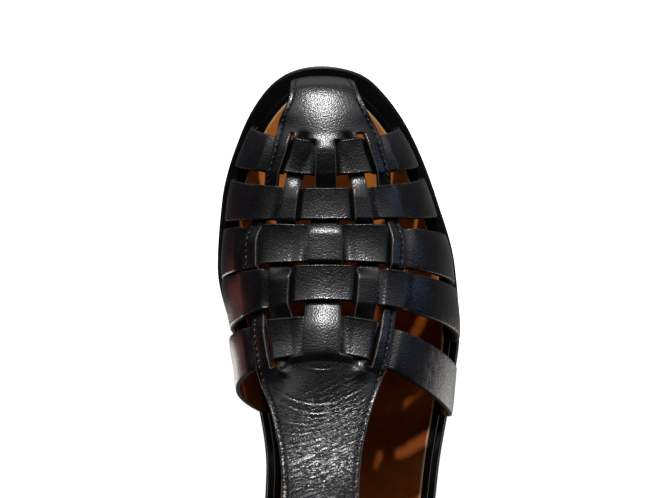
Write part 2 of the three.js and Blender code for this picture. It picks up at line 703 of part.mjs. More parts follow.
const keeperHeight = 2 * LEATHER - TUCK + GAP;
const keeper = solid(strapBlock(KEEPER.from, KEEPER.to, strapHalf + GAP + KEEPER.leather,
  -GAP - KEEPER.leather, keeperHeight + KEEPER.leather, 2))
  .subtract(solid(strapBlock(KEEPER.from - KEEPER.clear, KEEPER.to + KEEPER.clear,
    strapHalf + GAP, -GAP, keeperHeight, 4)));

addPiece('outsole', outsole, BLACK_SOLE);
addPiece('heel', heel, BLACK_SOLE);
addPiece('midsole', midsole, BLACK_SOLE);
addPiece('footbed', footbed, BLACK_LEATHER);
addPiece('insole', insole, TAN_LINING);
addPiece('upper', geometryOf(upperSolid()), BLACK_LEATHER);
addPiece('back_quarter', geometryOf(backQuarter), BLACK_LEATHER);
addPiece('buckle_frame', buckleFrame(), STEEL);
addPiece('buckle_prong', wire(prongPath(), BUCKLE.prong, WIRE_SIDES, false), STEEL);
addPiece('strap_keeper', geometryOf(keeper), BLACK_LEATHER);

export default sandal;
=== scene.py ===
"""Looks of a woven fisherman sandal for the right foot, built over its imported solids.

Shapes are worked out in millimetres in the part's own frame, +X to the outer side of the foot, +Y to
the toe and +Z up, and are scaled to metres when a mesh is made.
"""

import math

import bmesh
import bpy
import numpy as np
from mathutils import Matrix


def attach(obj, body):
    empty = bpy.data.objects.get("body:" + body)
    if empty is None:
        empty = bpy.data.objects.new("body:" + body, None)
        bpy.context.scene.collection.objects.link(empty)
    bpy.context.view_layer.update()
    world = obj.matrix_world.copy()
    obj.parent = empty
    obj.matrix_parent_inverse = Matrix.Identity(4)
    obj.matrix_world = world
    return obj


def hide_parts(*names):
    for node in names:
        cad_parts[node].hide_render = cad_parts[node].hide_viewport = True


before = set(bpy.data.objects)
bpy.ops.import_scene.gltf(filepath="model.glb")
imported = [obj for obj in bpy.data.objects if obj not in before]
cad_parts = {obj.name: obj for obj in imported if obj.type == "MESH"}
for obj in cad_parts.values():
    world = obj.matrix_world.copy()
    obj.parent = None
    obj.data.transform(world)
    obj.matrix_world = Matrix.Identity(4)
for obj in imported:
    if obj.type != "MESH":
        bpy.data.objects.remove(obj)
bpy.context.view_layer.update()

MM = 0.001
SIDES = {-1: "medial", 1: "lateral"}

# Driving dimensions, as in the solids
LENGTH = 260
BALL_WIDTH = 95
HEEL_LIFT = 16
TOE_SPRING = 7
LEATHER = 2
GAP = 0.3
TREAD_FRONT = 62
TREAD_REAR = 20
ARCH_REAR = -50
HEEL_FRONT = -62
OUTSOLE_TOP = 4.5
MIDSOLE_TOP = 8.3
FOOTBED_TOP = 12.1
INSOLE_TOP = 13.6
MIDSOLE_INSET = 0.8
RIM_WIDTH = 2.8
FEATHER_LIFT = MIDSOLE_TOP + GAP

# Weave
STRAP_COUNT = 5
STRIPS = ("centre", "inner", "outer")
WEAVE_RISE = 2.05
WEAVE_DROP = 1.3
UNDER = -WEAVE_DROP
OVER = WEAVE_RISE - WEAVE_DROP
WEAVE_SLOPE = 2.6
SIDE_SLOPE = 1.4 * WEAVE_SLOPE
WEAVE_BITE = 0.3
CREST_AT = {"inner": 0.36, "outer": 0.45}
CENTRE_CREST = {3: 0.35, 5: 0.52}
CLIMB_STEPS = (0.15, 0.3, 0.45, 0.6, 0.75, 0.88)
NOSE = {"rise": 0.6, "at": 0.28, "crown": 0.4, "length": 3.0}
STRAP_SADDLE = (0.28, 0.22, 0.5, 0.34, 0.56)
SADDLE_LEVEL = 0.3
STRAP_CROWN = 0.22
STRIP_CROWN = 0.08
STRIP_TWIST = 0.6
BLOCK_TILT = {-1: 2.2, 1: 1.2}
STRIP_LEAD = {"centre": 1.0, "inner": 2.0, "outer": 2.0}
STRIP_FLOW = {"from_centre": 0.6, "to_outer": 0.4}
TOE_SWELL = {"length": 10, "rise": 0.2}
OUTER_STRIP = 5.2
SLIT_LENGTH = 2
SLIT_EASE = {"outside": 0.5, "inside": 2}
SHOULDER = 0.6
WALL_RISE = 0.6
TOE_POINT = 1.5
WALL_FOOT = 0.88

# Ankle strap, counter, buckle and keeper
STRAP_HALF = 6.5
ANKLE = {"x": -2.25, "y": -85, "z": 87.5, "half_width": 31, "half_length": 40, "sway": -4.25, "tilt": 13.5}
LEAN = {"front": 40, "back": 84, "starts_at": -0.1}
LOOP_HALF_ANGLE = 26
COUNTER = {"start": 84, "full": 108, "reach": 0.34, "bulge": 2.2, "draw_in": 0.4, "foot": 0.12}
BUCKLE = {"front": 38, "heel_bar": 61, "wire": 1.2, "side": 1.5, "corner": 3, "prong": 0.9}
PRONG = {"tip": 0.62, "taper": 7, "overhang": 3, "climb": 4, "bow": 0.2, "bow_at": -2, "dip": 0.55,
         "dip_at": -7, "end": -3.6}
KEEPER = {"start": 69, "end": 77, "leather": 1.5}
TIP = {"start": 46, "climb": 4, "crest": 61, "down": 68, "taper": 5, "end": 92, "width": 0.92, "point": 0.45}
TUCK = 0.35
SLEEVE_CORNER = 0.25
HOLE = {"angle": 82, "radius": 1.0}

# Sewing: the stitches, the groove that they lie in, and where the rows run
STITCH_IN = 1.5
STITCH = {"pitch": 2.5, "length": 2.0, "radius": 0.34, "proud": 0.04, "dip": 0.30, "bend": 2.5, "taper": 3.5}
SEAM = {"width": 0.55, "depth": 0.3, "step": 0.5, "from_toe": 4, "from_loop": 3}
SEAM_SUNK = {"vamp": 0.12, "quarter": 0.06}
QUARTER_SEAMS = {"top": (30, 330), "lateral": (30, 112), "medial": (248, 330)}
LOWER_SEAM = 1.2 * STITCH_IN

# Mesh counts
SOLE_STATIONS = 420
TOP_COLUMNS = 9
BOTTOM_COLUMNS = 41
VAMP_ROWS_OF = {"toe_step": 0.6, "woven": 190, "bar": 330}
VAMP_BANDS = (("centre", 6), ("inner slit", 2), ("inner", 9), ("outer slit", 2), ("outer", 11))
STRAP_STATIONS = 230
STRAP_CELLS = 22
COUNTER_STATIONS = 480
COUNTER_ROWS = 44
SLEEVE_FLAT = 8
SLEEVE_TURN = 7
LOOP_STATIONS = 45
KEEPER_STATIONS = 15
TIP_STATIONS = 110
TIP_ROWS = 19
HOLE_STATIONS = 24
STITCH_RINGS = 9
STITCH_SIDES = 8
FRAME_TURN = 10
FRAME_FLAT = 12
FRAME_SIDES = 18
PRONG_STATIONS = 48
PRONG_SIDES = 14

# Sole outline: shares of the length from the heel and of the ball width either side of the middle line;
# ledge is how far the footbed stands in from the edge
SOLE_COLUMNS = ("along", "medial", "lateral", "ledge")
SOLE_ROWS = (
    (0.000, 0.021, 0.021, 4.4),
    (0.035, -0.179, 0.221, 4.4),
    (0.100, -0.295, 0.335, 4.2),
    (0.200, -0.326, 0.368, 3.8),
    (0.300, -0.311, 0.379, 3.5),
    (0.400, -0.297, 0.406, 3.4),
    (0.500, -0.337, 0.456, 3.6),
    (0.600, -0.438, 0.497, 4.0),
    (0.700, -0.500, 0.478, 4.4),
    (0.800, -0.481, 0.404, 5.0),
    (0.900, -0.402, 0.294, 5.6),
    (0.960, -0.308, 0.181, 6.6),
    (0.985, -0.232, 0.103, 7.3),
    (1.000, -0.074, -0.074, 7.5),
)

# The last under the upper, a row for each section from toe to ankle: the ridge, where the section meets
# the sole on either side, how far each wall flares out and rakes forward, and how wide the top lies flat
LAST_COLUMNS = ("x", "y", "z", "y_medial", "y_lateral", "flare_medial", "flare_lateral", "rake_medial",
                "rake_lateral", "spread")
LAST_ROWS = {
    "toe tip": (-7, 122.8, 14.3, 122.8, 122.8, 2, 2, 0.3, 0.3, 0),
    "toe wall": (-7, 123.3, 22, 121.8, 121.8, 2, 2, 0.3, 0.3, 6),
    "toe shoulder": (-6.7, 120, 33.2, 118.6, 118.6, 2, 2, 0.3, 0.3, 14),
    "toe top": (-6, 111.8, 38.9, 112.9, 112.6, 3, 3, 0.3, 0.3, 16),
    "strap 1 front": (-5.2, 99, 43.6, 106.1, 105.5, 4, 3.5, 0.3, 0.3, 0),
    "strap 1 rear": (-5, 86.3, 46.2, 91, 90.6, 4, 3.5, 0.3, 0.3, 0),
    "strap 2 front": (-5, 81.1, 47.4, 85.9, 86.2, 2.5, 4, 0.3, 0.3, 0),
    "strap 2 rear": (-5.2, 69.3, 50.3, 69.6, 70.9, 2, 3.5, 0.3, 0.3, 0),
    "strap 3 front": (-5.2, 67.8, 50.7, 66.3, 63, 2, 5, 0.3, 0.3, 0),
    "strap 3 rear": (-5.5, 53.9, 54.7, 46.8, 44.3, 2.5, 4.5, 0.3, 0.3, 0),
    "strap 4 front": (-5.5, 52.4, 55.2, 45.8, 41.5, 3.5, 5.5, 0.3, 0.3, 0),
    "strap 4 rear": (-6, 39.4, 59.1, 25.6, 22.7, 9, 7, 0.3, 0.3, 0),
    "strap 5 front": (-6.1, 34.2, 60.8, 22, 11, 13, 8, 0.3, 0.15, 0),
    "strap 5 rear": (-6.5, 20.5, 65.3, -4.5, -5.2, 26, 10, 0.55, -0.1, 0),
    "instep": (-6.7, 0, 69.9, -24, -24, 24, 12, 0, 0, 36),
    "bar middle": (-6.8, -18, 77.4, -38, -38, 20, 12, 0.1, 0.1, 42),
    "bar end": (-6.6, -40.5, 96.5, -52, -52, 16, 12, 0.2, 0.2, 12),
}

# The vamp leather in plan, by distance along the foot: its half widths and the edges of its strips,
# measured from the ridge
VAMP_COLUMNS = ("y", "half_medial", "half_lateral", "centre", "inner_from", "inner_to")
VAMP_ROWS = (
    (-60, 13.2, 13.2, 6, 8, 9),
    (-31, 13.4, 13.4, 6, 8, 9),
    (-16, 14.6, 14.6, 6, 8, 9),
    (-8, 16.2, 16.2, 6, 8, 10),
    (0, 18.2, 18.2, 6, 8, 11),
    (10, 21.8, 21.4, 6.5, 9, 15),
    (18, 23.3, 23.5, 6.5, 9.6, 17),
    (25, 24.7, 24.9, 6.5, 10.6, 18.4),
    (32, 26.2, 26.5, 6.5, 11.4, 19.4),
    (45, 28.6, 28.8, 6.4, 12.1, 20.2),
    (62, 29.3, 29.2, 6.2, 11.2, 18.8),
    (75, 25.8, 26.4, 4.5, 10.2, 16.2),
    (87, 21.8, 23.4, 3.7, 8.7, 14.2),
    (96, 18.6, 20.4, 3.4, 5.2, 12.6),
    (102, 17.3, 18.9, 3.2, 3.9, 11),
    (107.5, 16, 16.9, 3.2, 3.7, 10.4),
    (116, 12, 13.6, 3.2, 3.7, 10.4),
    (125, 10.6, 11.2, 3.2, 3.7, 10.4),
)

# Where the strips would run together in the toe piece and the bar, these shares of the width part them
STRIP_SHARES = {"centre": 0.34, "inner_from": 0.46, "inner_to": 0.69}
OUTER_SHARE = 0.70

# Creases of the instep bar, listed one by one: the distance along the foot at the medial edge, the middle
# and the lateral edge, the stretch of the width that the crease takes, and its depth and width
CREASE_ROWS = (
    (36, 14.8, 36, -0.3, 0.32, 0.08, 0.4),
    (9.5, 2.1, 12.5, -0.95, 0.9, 0.11, 0.45),
    (-5.2, 6.2, 17.6, -0.15, 0.8, 0.11, 0.42),
    (-8, 3.8, 15.6, 0.0, 0.9, 0.09, 0.42),
    (14, 9.5, 20, -0.98, -0.45, 0.11, 0.42),
    (6, -1.2, 9.5, -0.95, 0.35, 0.09, 0.42),
    (4, -3, 7.5, -0.3, 0.95, 0.09, 0.42),
    (-3, 8.8, 20.6, -0.45, 0.35, 0.08, 0.4),
    (-2.7, -4.5, 6.1, -0.85, 0.4, 0.07, 0.34),
    (-5.2, -6, 4.6, -0.3, 0.9, 0.06, 0.34),
    (-8.2, -7.5, 1.6, -0.9, 0.25, 0.06, 0.34),
    (-10.2, -9.5, 0.1, -0.15, 0.95, 0.07, 0.34),
    (-13.2, -10.5, -3.4, -0.9, 0.6, 0.08, 0.34),
    (-15.2, -12.5, -5.4, -0.6, 0.95, 0.07, 0.34),
    (-17.7, -14.5, -7.4, -0.95, 0.35, 0.08, 0.34),
    (-19.2, -16, -9.9, -0.25, 0.95, 0.08, 0.34),
    (-21.7, -17.5, -11.4, -0.9, 0.7, 0.08, 0.34),
    (-23.2, -19.5, -14.4, -0.55, 0.95, 0.07, 0.34),
    (-25.7, -22, -16.4, -0.95, 0.45, 0.08, 0.34),
    (-27.7, -24, -18.9, -0.35, 0.95, 0.08, 0.34),
    (-30.2, -26.5, -21.4, -0.9, 0.8, 0.07, 0.34),
    (-33.2, -29.5, -24.9, -0.8, 0.6, 0.06, 0.34),
    (-36.2, -33, -28.4, -0.6, 0.9, 0.06, 0.34),
)
CREASE = {"fade": 0.25, "ridge_at": 1.7, "ridge_width": 1.2, "ridge_height": 0.6, "starts": 3, "under": 0.5}

# Puckers behind the ends of the outer slits: share of the half width, distance along the foot, height, radius
PUCKERS = ((-0.60, 13.2, 1.3, 2.4), (0.60, 13.4, 0.8, 2.3))


# Numbers and curves
def mix(a, b, share):
    return a + (b - a) * share


def smooth(x, low, high):
    t = np.clip((x - low) / (high - low), 0, 1)
    return t * t * (3 - 2 * t)


def hill(x, width):
    """A bell of height 1 over 0."""
    return np.exp(-((x / width) ** 2))


def unit(vectors):
    return vectors / np.linalg.norm(vectors, axis=-1, keepdims=True)


def table(columns, rows):
    """Rows under named columns, as one array for each column."""
    return dict(zip(columns, np.array(rows, float).T))


def monotone_curve(xs, ys):
    """A curve through (xs, ys) that never overshoots its points."""
    slopes = np.diff(ys) / np.diff(xs)
    before, after = slopes[:-1], slopes[1:]
    same = before * after > 0
    total = np.where(same, before + after, 1)
    inner = np.where(same, 2 * before * after / total, 0)
    tangents = np.concatenate([slopes[:1], inner, slopes[-1:]])

    def at(x):
        x = np.clip(x, xs[0], xs[-1])
        i = np.clip(np.searchsorted(xs, x) - 1, 0, len(slopes) - 1)
        width = xs[i + 1] - xs[i]
        t = (x - xs[i]) / width
        t2, t3 = t * t, t * t * t
        start = (2 * t3 - 3 * t2 + 1) * ys[i] + (t3 - 2 * t2 + t) * width * tangents[i]
        end = (3 * t2 - 2 * t3) * ys[i + 1] + (t3 - t2) * width * tangents[i + 1]
        return start + end

    return at


def curves(places, columns):
    return {name: monotone_curve(places, values) for name, values in columns.items()}


# Sole
def turn_at(along):
    return np.arccos(1 - 2 * np.asarray(along, float)) / np.pi


sole_table = table(SOLE_COLUMNS, SOLE_ROWS)
SOLE = curves(turn_at(sole_table["along"]), sole_table)


def ground(y):
    """Height of the outsole's underside."""
    spring = TOE_SPRING * (np.maximum(0, y - TREAD_FRONT) / (LENGTH / 2 - TREAD_FRONT)) ** 2
    return spring + HEEL_LIFT * smooth(TREAD_REAR - y, 0, TREAD_REAR - ARCH_REAR)


def rail(side, turn, inset):
    """The outline moved in from the edge, and the way out; turn is 0 at the heel and 1 at the toe."""
    outline = SOLE[SIDES[side]]
    step = 1e-3
    before, after = np.maximum(0, turn - step), np.minimum(1, turn + step)
    dx = BALL_WIDTH * (outline(after) - outline(before)) / (after - before)
    dy = LENGTH * np.pi * np.sin(np.pi * turn) / 2
    out = unit(np.stack([dy * side, -dx * side], -1))
    x = BALL_WIDTH * outline(turn) - out[..., 0] * inset
    y = -LENGTH * np.cos(np.pi * turn) / 2 - out[..., 1] * inset
    return x, y, out


def feather_at(side, turn):
    """Where the upper meets the sole, just outside the footbed, and the way out there."""
    x, y, out = rail(side, turn, SOLE["ledge"](turn) - GAP)
    return np.stack([x, y, ground(y) + FEATHER_LIFT], -1), out


# Last
TURNS = np.linspace(0, 1, 4001)
FEATHER_Y = {side: np.maximum.accumulate(feather_at(side, TURNS)[0][:, 1]) for side in SIDES}

last_table = table(LAST_COLUMNS, list(LAST_ROWS.values()))
ridge_points = np.stack([last_table["x"], last_table["y"], last_table["z"]], -1)
ridge_steps = np.linalg.norm(np.diff(ridge_points, axis=0), axis=-1)
RIDGE_LENGTHS = np.concatenate([[0], np.cumsum(ridge_steps)])
LAST = curves(RIDGE_LENGTHS, last_table)


def place_of(name):
    return RIDGE_LENGTHS[list(LAST_ROWS).index(name)]


def strap_span(k):
    return place_of(f"strap {k} front"), place_of(f"strap {k} rear")


BAR_END = place_of("bar end")
WEAVE_START = place_of("strap 1 front")
WEAVE_END = place_of("strap 5 rear")
TOE_PIECE_END = WEAVE_START - SLIT_LENGTH
BAR_START = WEAVE_END + SLIT_LENGTH


def section(s, side):
    """The four handles of half a section, from its ridge to its feather edge, and the way out there."""
    name = SIDES[side]
    ridge = np.stack([LAST["x"](s), LAST["y"](s), LAST["z"](s)], -1)
    foot, out = feather_at(side, np.interp(LAST[f"y_{name}"](s), FEATHER_Y[side], TURNS))
    rise = ridge - foot
    shoulder = ridge.copy()
    shoulder[:, 0] += side * np.hypot(SHOULDER * rise[:, 0], LAST["spread"](s))
    knee = foot.copy()
    knee[:, 0] += side * LAST[f"flare_{name}"](s)
    knee[:, 1] += LAST[f"rake_{name}"](s) * rise[:, 1]
    knee[:, 2] += WALL_RISE * rise[:, 2]
    return (ridge, shoulder, knee, foot), out


def halves(s, v):
    """The points of a flat array of places that lie on each side of the ridge."""
    for side in SIDES:
        mine = v < 0 if side < 0 else v >= 0
        handles, out = section(np.clip(s[mine], 0, BAR_END), side)
        yield mine, handles, out, np.abs(v[mine])[:, None]


def last_point(s, v):
    """A point of the last: s along the ridge, v from -1 at the medial edge to 1 at the lateral edge."""
    points = np.empty((len(s), 3))
    for mine, (a, b, c, d), _, t in halves(s, v):
        r = 1 - t
        points[mine] = r**3 * a + 3 * r * r * t * b + 3 * r * t * t * c + t**3 * d
    return points


def last_normal(s, v):
    """The way out of the last, level with the floor where the wall stands on the sole."""
    ds, dv = 0.4, 0.01
    at = np.clip(s, TOE_POINT, BAR_END)
    along = last_point(at + ds, v) - last_point(at - ds, v)
    sideways = last_point(at, np.clip(v + dv, -1, 1)) - last_point(at, np.clip(v - dv, -1, 1))
    normal = unit(np.cross(along, sideways))
    level = np.zeros_like(normal)
    for mine, _, out, _ in halves(at, v):
        level[mine, :2] = out
    return unit(mix(normal, level, smooth(np.abs(v), WALL_FOOT, 1)[:, None]))


def lifted(points, normals, height):
    """Points at a height off the last, never below the ledge that the upper stands on."""
    moved = points + normals * np.asarray(height)[..., None]
    moved[:, 2] = np.maximum(moved[:, 2], ground(moved[:, 1]) + FEATHER_LIFT)
    return moved


# Vamp in plan, and the weave
vamp_table = table(VAMP_COLUMNS, VAMP_ROWS)
VAMP = curves(vamp_table["y"], vamp_table)


def vamp_edge(side, y):
    return VAMP[f"half_{SIDES[side]}"](y)


def strip_bounds(side, y):
    """Plan widths of the strips' edges, from the ridge to the edge of the vamp."""
    edge = vamp_edge(side, y)
    inner = [np.minimum(VAMP[name](y), share * edge) for name, share in STRIP_SHARES.items()]
    outer = np.maximum(edge - OUTER_STRIP, OUTER_SHARE * edge)
    return [*inner, outer, edge]


def across(s, side, width):
    """The place across a section that lies at a plan width from the ridge; width is a function of y."""
    low, high = np.zeros_like(s), np.ones_like(s)
    halvings = 36
    for _ in range(halvings):
        middle = (low + high) / 2
        p = last_point(s, side * middle)
        beyond = np.abs(p[:, 0] - LAST["x"](s)) > width(p[:, 1])
        high = np.where(beyond, middle, high)
        low = np.where(beyond, low, middle)
    return side * high


def strip_over(k, strip):
    """The centre and outer strips pass over the odd straps, the inner strips over the even ones."""
    return (k % 2 == 1) == (strip != "inner")


def eased(t):
    """A climb from 0 to 1 that is steepest at a third of its way."""
    return t * t * (6 - 8 * t + 3 * t * t)


def weave_curve(strip):
    """How far a strip stands off the last along the ridge, as it passes over and under the straps."""
    lead = STRIP_LEAD[strip]
    nodes = [(TOE_PIECE_END - TOE_SWELL["length"], 0.0), (TOE_PIECE_END - lead, TOE_SWELL["rise"])]
    for k in range(1, STRAP_COUNT + 1):
        front, rear = strap_span(k)
        if not strip_over(k, strip):
            nodes += [(front + WEAVE_BITE, UNDER), (rear - WEAVE_BITE, UNDER)]
            continue
        if k == 1:
            nodes += [(front + WEAVE_BITE, OVER), (mix(front, rear, NOSE["at"]), OVER + NOSE["rise"])]
        else:
            crest_at = CENTRE_CREST[k] if strip == "centre" else CREST_AT[strip]
            start, crest = nodes[-1][0], mix(front, rear, crest_at)
            if strip == "centre":
                nodes += [(mix(start, crest, t), mix(UNDER, OVER, eased(t))) for t in CLIMB_STEPS]
            nodes.append((crest, OVER))
        nodes.append((rear - WEAVE_BITE, OVER))
    nodes.append((BAR_START + lead, 0.0))
    places, levels = np.array(nodes).T
    return monotone_curve(places, levels)


STRIP_HEIGHT = {strip: weave_curve(strip) for strip in STRIPS}


def strap_height(k, s, points):
    """How far a strap stands off the last, and how fully a strip that passes under it raises it."""
    offset = points[:, 0] - LAST["x"](s)
    height, on_strips = np.zeros_like(s), np.zeros_like(s)
    for side in SIDES:
        centre, inner_from, inner_to, outer_from, edge = strip_bounds(side, points[:, 1])
        d = side * offset

        def past(line, ahead, beyond):
            return smooth(d, line - ahead, line + beyond)

        if strip_over(k, "centre"):
            raised = past(centre, WEAVE_BITE, WEAVE_SLOPE) - past(outer_from, WEAVE_SLOPE, WEAVE_BITE)
            share = np.clip((d - inner_from) / (inner_to - inner_from), 0, 1)
            tilt = BLOCK_TILT[side] * raised * (share - 0.5)
        else:
            raised = 1 - past(inner_from, WEAVE_SLOPE, WEAVE_BITE) + past(inner_to, WEAVE_BITE, WEAVE_SLOPE)
            tilt = 0
        beside = past(edge, -WEAVE_BITE, SIDE_SLOPE)
        height = np.where(d >= 0, mix(UNDER + WEAVE_RISE * raised + tilt, 0, beside), height)
        on_strips = np.where(d >= 0, raised * (1 - beside), on_strips)
    return height, on_strips


# Meshes
def grid_faces(rows, columns, ring_rows=False, ring_columns=False):
    """Quads of a grid of points, facing the way rows cross columns."""
    i = np.arange(rows if ring_rows else rows - 1)
    j = np.arange(columns if ring_columns else columns - 1)
    i, j = np.meshgrid(i, j, indexing="ij")
    next_i, next_j = (i + 1) % rows, (j + 1) % columns
    corners = [i * columns + j, next_i * columns + j, next_i * columns + next_j, i * columns + next_j]
    return np.stack(corners, -1).reshape(-1, 4)


def placed(name, data):
    """A new object in the scene."""
    obj = bpy.data.objects.new(name, data)
    bpy.context.scene.collection.objects.link(obj)
    return obj


def piece(name, points, faces, materials, face_materials=None, replaces=()):
    """A smooth mesh in metres from points in millimetres, riding on the sandal."""
    mesh = bpy.data.meshes.new(name)
    quads = faces.tolist() if isinstance(faces, np.ndarray) else faces
    mesh.from_pydata((points * MM).tolist(), [], quads)
    for material in materials:
        mesh.materials.append(material)
    if face_materials is not None:
        mesh.polygons.foreach_set("material_index", np.asarray(face_materials, np.int32))
    mesh.polygons.foreach_set("use_smooth", np.ones(len(mesh.polygons), bool))
    mesh.validate()
    mesh.update()
    obj = placed(name, mesh)
    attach(obj, "root")
    if replaces:
        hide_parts(*replaces)
    return obj


def welded(obj):
    """Joins the points that meet at the tips of a piece, and turns its faces out."""
    work = bmesh.new()
    work.from_mesh(obj.data)
    bmesh.ops.remove_doubles(work, verts=work.verts, dist=2e-6)
    bmesh.ops.dissolve_degenerate(work, edges=work.edges, dist=1e-7)
    bmesh.ops.recalc_face_normals(work, faces=work.faces)
    work.to_mesh(obj.data)
    work.free()


# The rounded rim of a leather sheet, from its top to its underside: how far in, and the share of the
# thickness; the bands between are grain, worn corner, raw core, worn corner, lining
RIM_PROFILE = ((0.44, 1.0), (0.24, 0.96), (0.02, 0.80), (0.0, 0.5), (0.02, 0.20), (0.12, 0.05),
               (0.30, 0.0))
GRAIN, LINING, CORE, CORNER = range(4)
RIM_BANDS = (GRAIN, CORNER, CORE, CORE, CORNER, LINING)


def leather_sheet(name, low, high, faces, materials, replaces=()):
    """A closed sheet between two faces, with rounded cut edges."""
    high, low = high.copy(), low.copy()
    starts = faces.ravel()
    ends = np.roll(faces, -1, axis=1).ravel()
    count = len(high)
    rim = ~np.isin(starts * count + ends, ends * count + starts)
    a, b = starts[rim], ends[rim]
    normal = unit(high - low + 1e-9)
    edge_out = unit(np.cross(high[b] - high[a], normal[a] + normal[b]))
    out = np.zeros_like(high)
    np.add.at(out, a, edge_out)
    np.add.at(out, b, edge_out)
    used = np.unique(a)
    out[used] = unit(out[used])
    rings = [mix(low[used], high[used], share) - out[used] * inset for inset, share in RIM_PROFILE]
    high[used], low[used] = rings[0], rings[-1]
    points = np.concatenate([high, low, *rings[1:-1]])
    first = np.arange(count)
    place_in_ring = np.full(count, -1)
    place_in_ring[used] = np.arange(len(used))
    between = [2 * count + k * len(used) + place_in_ring for k in range(len(rings) - 2)]
    lines = [first, *between, first + count]
    bands = [np.stack([lower[a], lower[b], upper[b], upper[a]], -1) for upper, lower in zip(lines, lines[1:])]
    all_faces = np.concatenate([faces, faces[:, ::-1] + count, *bands])
    sizes = [len(faces), len(faces)] + [len(a)] * len(RIM_BANDS)
    face_materials = np.repeat([GRAIN, LINING, *RIM_BANDS], sizes)
    piece(name, points, all_faces, materials, face_materials, replaces)


def stitch_row(path, normals):
    """Short rounded stitches along a path on the leather, half sunk in it."""
    lengths = np.concatenate([[0], np.cumsum(np.linalg.norm(np.diff(path, axis=0), axis=-1))])
    pitch = STITCH["pitch"]
    middles = np.arange(pitch, lengths[-1] - pitch / 2, pitch)

    def at(values, where):
        return np.stack([np.interp(where, lengths, values[:, i]) for i in range(3)], -1)

    near = 0.5
    along = unit(at(path, middles + near) - at(path, middles - near))
    up = unit(at(normals, middles))
    sideways = unit(np.cross(along, up))
    t = np.linspace(-1, 1, STITCH_RINGS)[:, None]
    around = np.arange(STITCH_SIDES) * 2 * np.pi / STITCH_SIDES
    girth = STITCH["radius"] * np.sqrt(np.maximum(1e-4, 1 - np.abs(t) ** STITCH["taper"]))
    lengthwise = t * STITCH["length"] / 2 + 0 * around
    rise = STITCH["proud"] - STITCH["dip"] * np.abs(t) ** STITCH["bend"] + girth * np.sin(around)
    body = at(path, middles)[:, None, None]
    for way, reach in ((along, lengthwise), (sideways, girth * np.cos(around)), (up, rise)):
        body = body + way[:, None, None] * reach[None, :, :, None]
    one = grid_faces(STITCH_RINGS, STITCH_SIDES, ring_columns=True)
    firsts = np.arange(len(middles)) * STITCH_RINGS * STITCH_SIDES
    return body.reshape(-1, 3), (one[None] + firsts[:, None, None]).reshape(-1, 4)


def join_parts(parts):
    """Several point and face arrays as one."""
    offsets = np.cumsum([0] + [len(points) for points, _ in parts[:-1]])
    points = np.concatenate([points for points, _ in parts])
    return points, np.concatenate([faces + offset for (_, faces), offset in zip(parts, offsets)])


# Materials
class Nodes:
    """The node tree of a material or of the world."""

    def __init__(self, owner):
        owner.use_nodes = True
        self.tree = owner.node_tree

    def fill(self, made, inputs):
        """Links sockets to a node's inputs, and sets plain values on them."""
        for key, value in inputs.items():
            if isinstance(value, bpy.types.NodeSocket):
                self.tree.links.new(value, made.inputs[key])
            else:
                made.inputs[key].default_value = value

    def add(self, kind, inputs=None, **settings):
        made = self.tree.nodes.new(f"ShaderNode{kind}")
        for key, value in settings.items():
            setattr(made, key, value)
        self.fill(made, inputs or {})
        return made.outputs

    def axes(self, where):
        return self.add("SeparateXYZ", {"Vector": where})

    def noise(self, where, size, detail=4, roughness=0.6):
        """Noise with features of a size in millimetres."""
        return self.add("TexNoise", {"Vector": where, "Scale": 1 / (size * MM), "Detail": detail,
                                     "Roughness": roughness})["Fac"]

    def stretched(self, where, scale, rotation=(0, 0, 0)):
        return self.add("Mapping", {"Vector": where, "Rotation": rotation, "Scale": scale},
                        vector_type="TEXTURE")["Vector"]

    def math(self, operation, first, second=0.0):
        return self.add("Math", {0: first, 1: second}, operation=operation)[0]

    def times(self, first, second):
        return self.math("MULTIPLY", first, second)

    def spread(self, value, low, high, start=0.3, end=0.7):
        """The range of a value from start to end, stretched to run from low to high."""
        return self.add("MapRange", {"Value": value, "From Min": start, "From Max": end, "To Min": low,
                                     "To Max": high})["Result"]

    def ramp(self, value, colours, start=0.35, end=0.65):
        made = self.tree.nodes.new("ShaderNodeValToRGB")
        self.fill(made, {"Fac": value})
        for element, position, colour in zip(made.color_ramp.elements, (start, end), colours):
            element.position = position
            element.color = (*colour, 1)
        return made.outputs["Color"]

    def blend(self, share, first, second, blend_type="MIX"):
        return self.add("MixRGB", {"Fac": share, "Color1": first, "Color2": second},
                        blend_type=blend_type)["Color"]

    def surface(self, base, rough, relief, depth, specular, metallic=0.0):
        """Sets the shader's main inputs, with a relief of a depth in millimetres."""
        bump = self.add("Bump", {"Height": relief, "Distance": depth * MM, "Strength": 1.0})
        self.fill(self.tree.nodes["Principled BSDF"], {
            "Base Color": base, "Roughness": rough, "Specular IOR Level": specular, "Metallic": metallic,
            "Normal": bump["Normal"]})


def new_material(name):
    material = bpy.data.materials.new(name)
    nodes = Nodes(material)
    return material, nodes, nodes.add("TexCoord")["Object"]


# Colours, darker and lighter, and where wear and painted light show, in metres
BLACK_DYE = ((0.002, 0.002, 0.0021), (0.0035, 0.0034, 0.0035))
SCUFFS_AND_PAINTED_SHEEN = ((0, 0, 0), (0.07, 0.068, 0.065))
STEEL_COLOURS = ((0.50, 0.49, 0.46), (0.68, 0.67, 0.64))
THREAD_COLOURS = ((0.004, 0.004, 0.0045), (0.018, 0.018, 0.019))
WEAR_AND_SHADE_TINT = (0.375, 0.27, 0.11, 1)
WEAR_AND_SHADE_Y = (0.03, 0.08)
FINE_CREASE_Y = (-0.026, 0.010)
STRAP_END_X = (0.022, 0.034)
STRAP_END_Y = (0.018, 0.056)


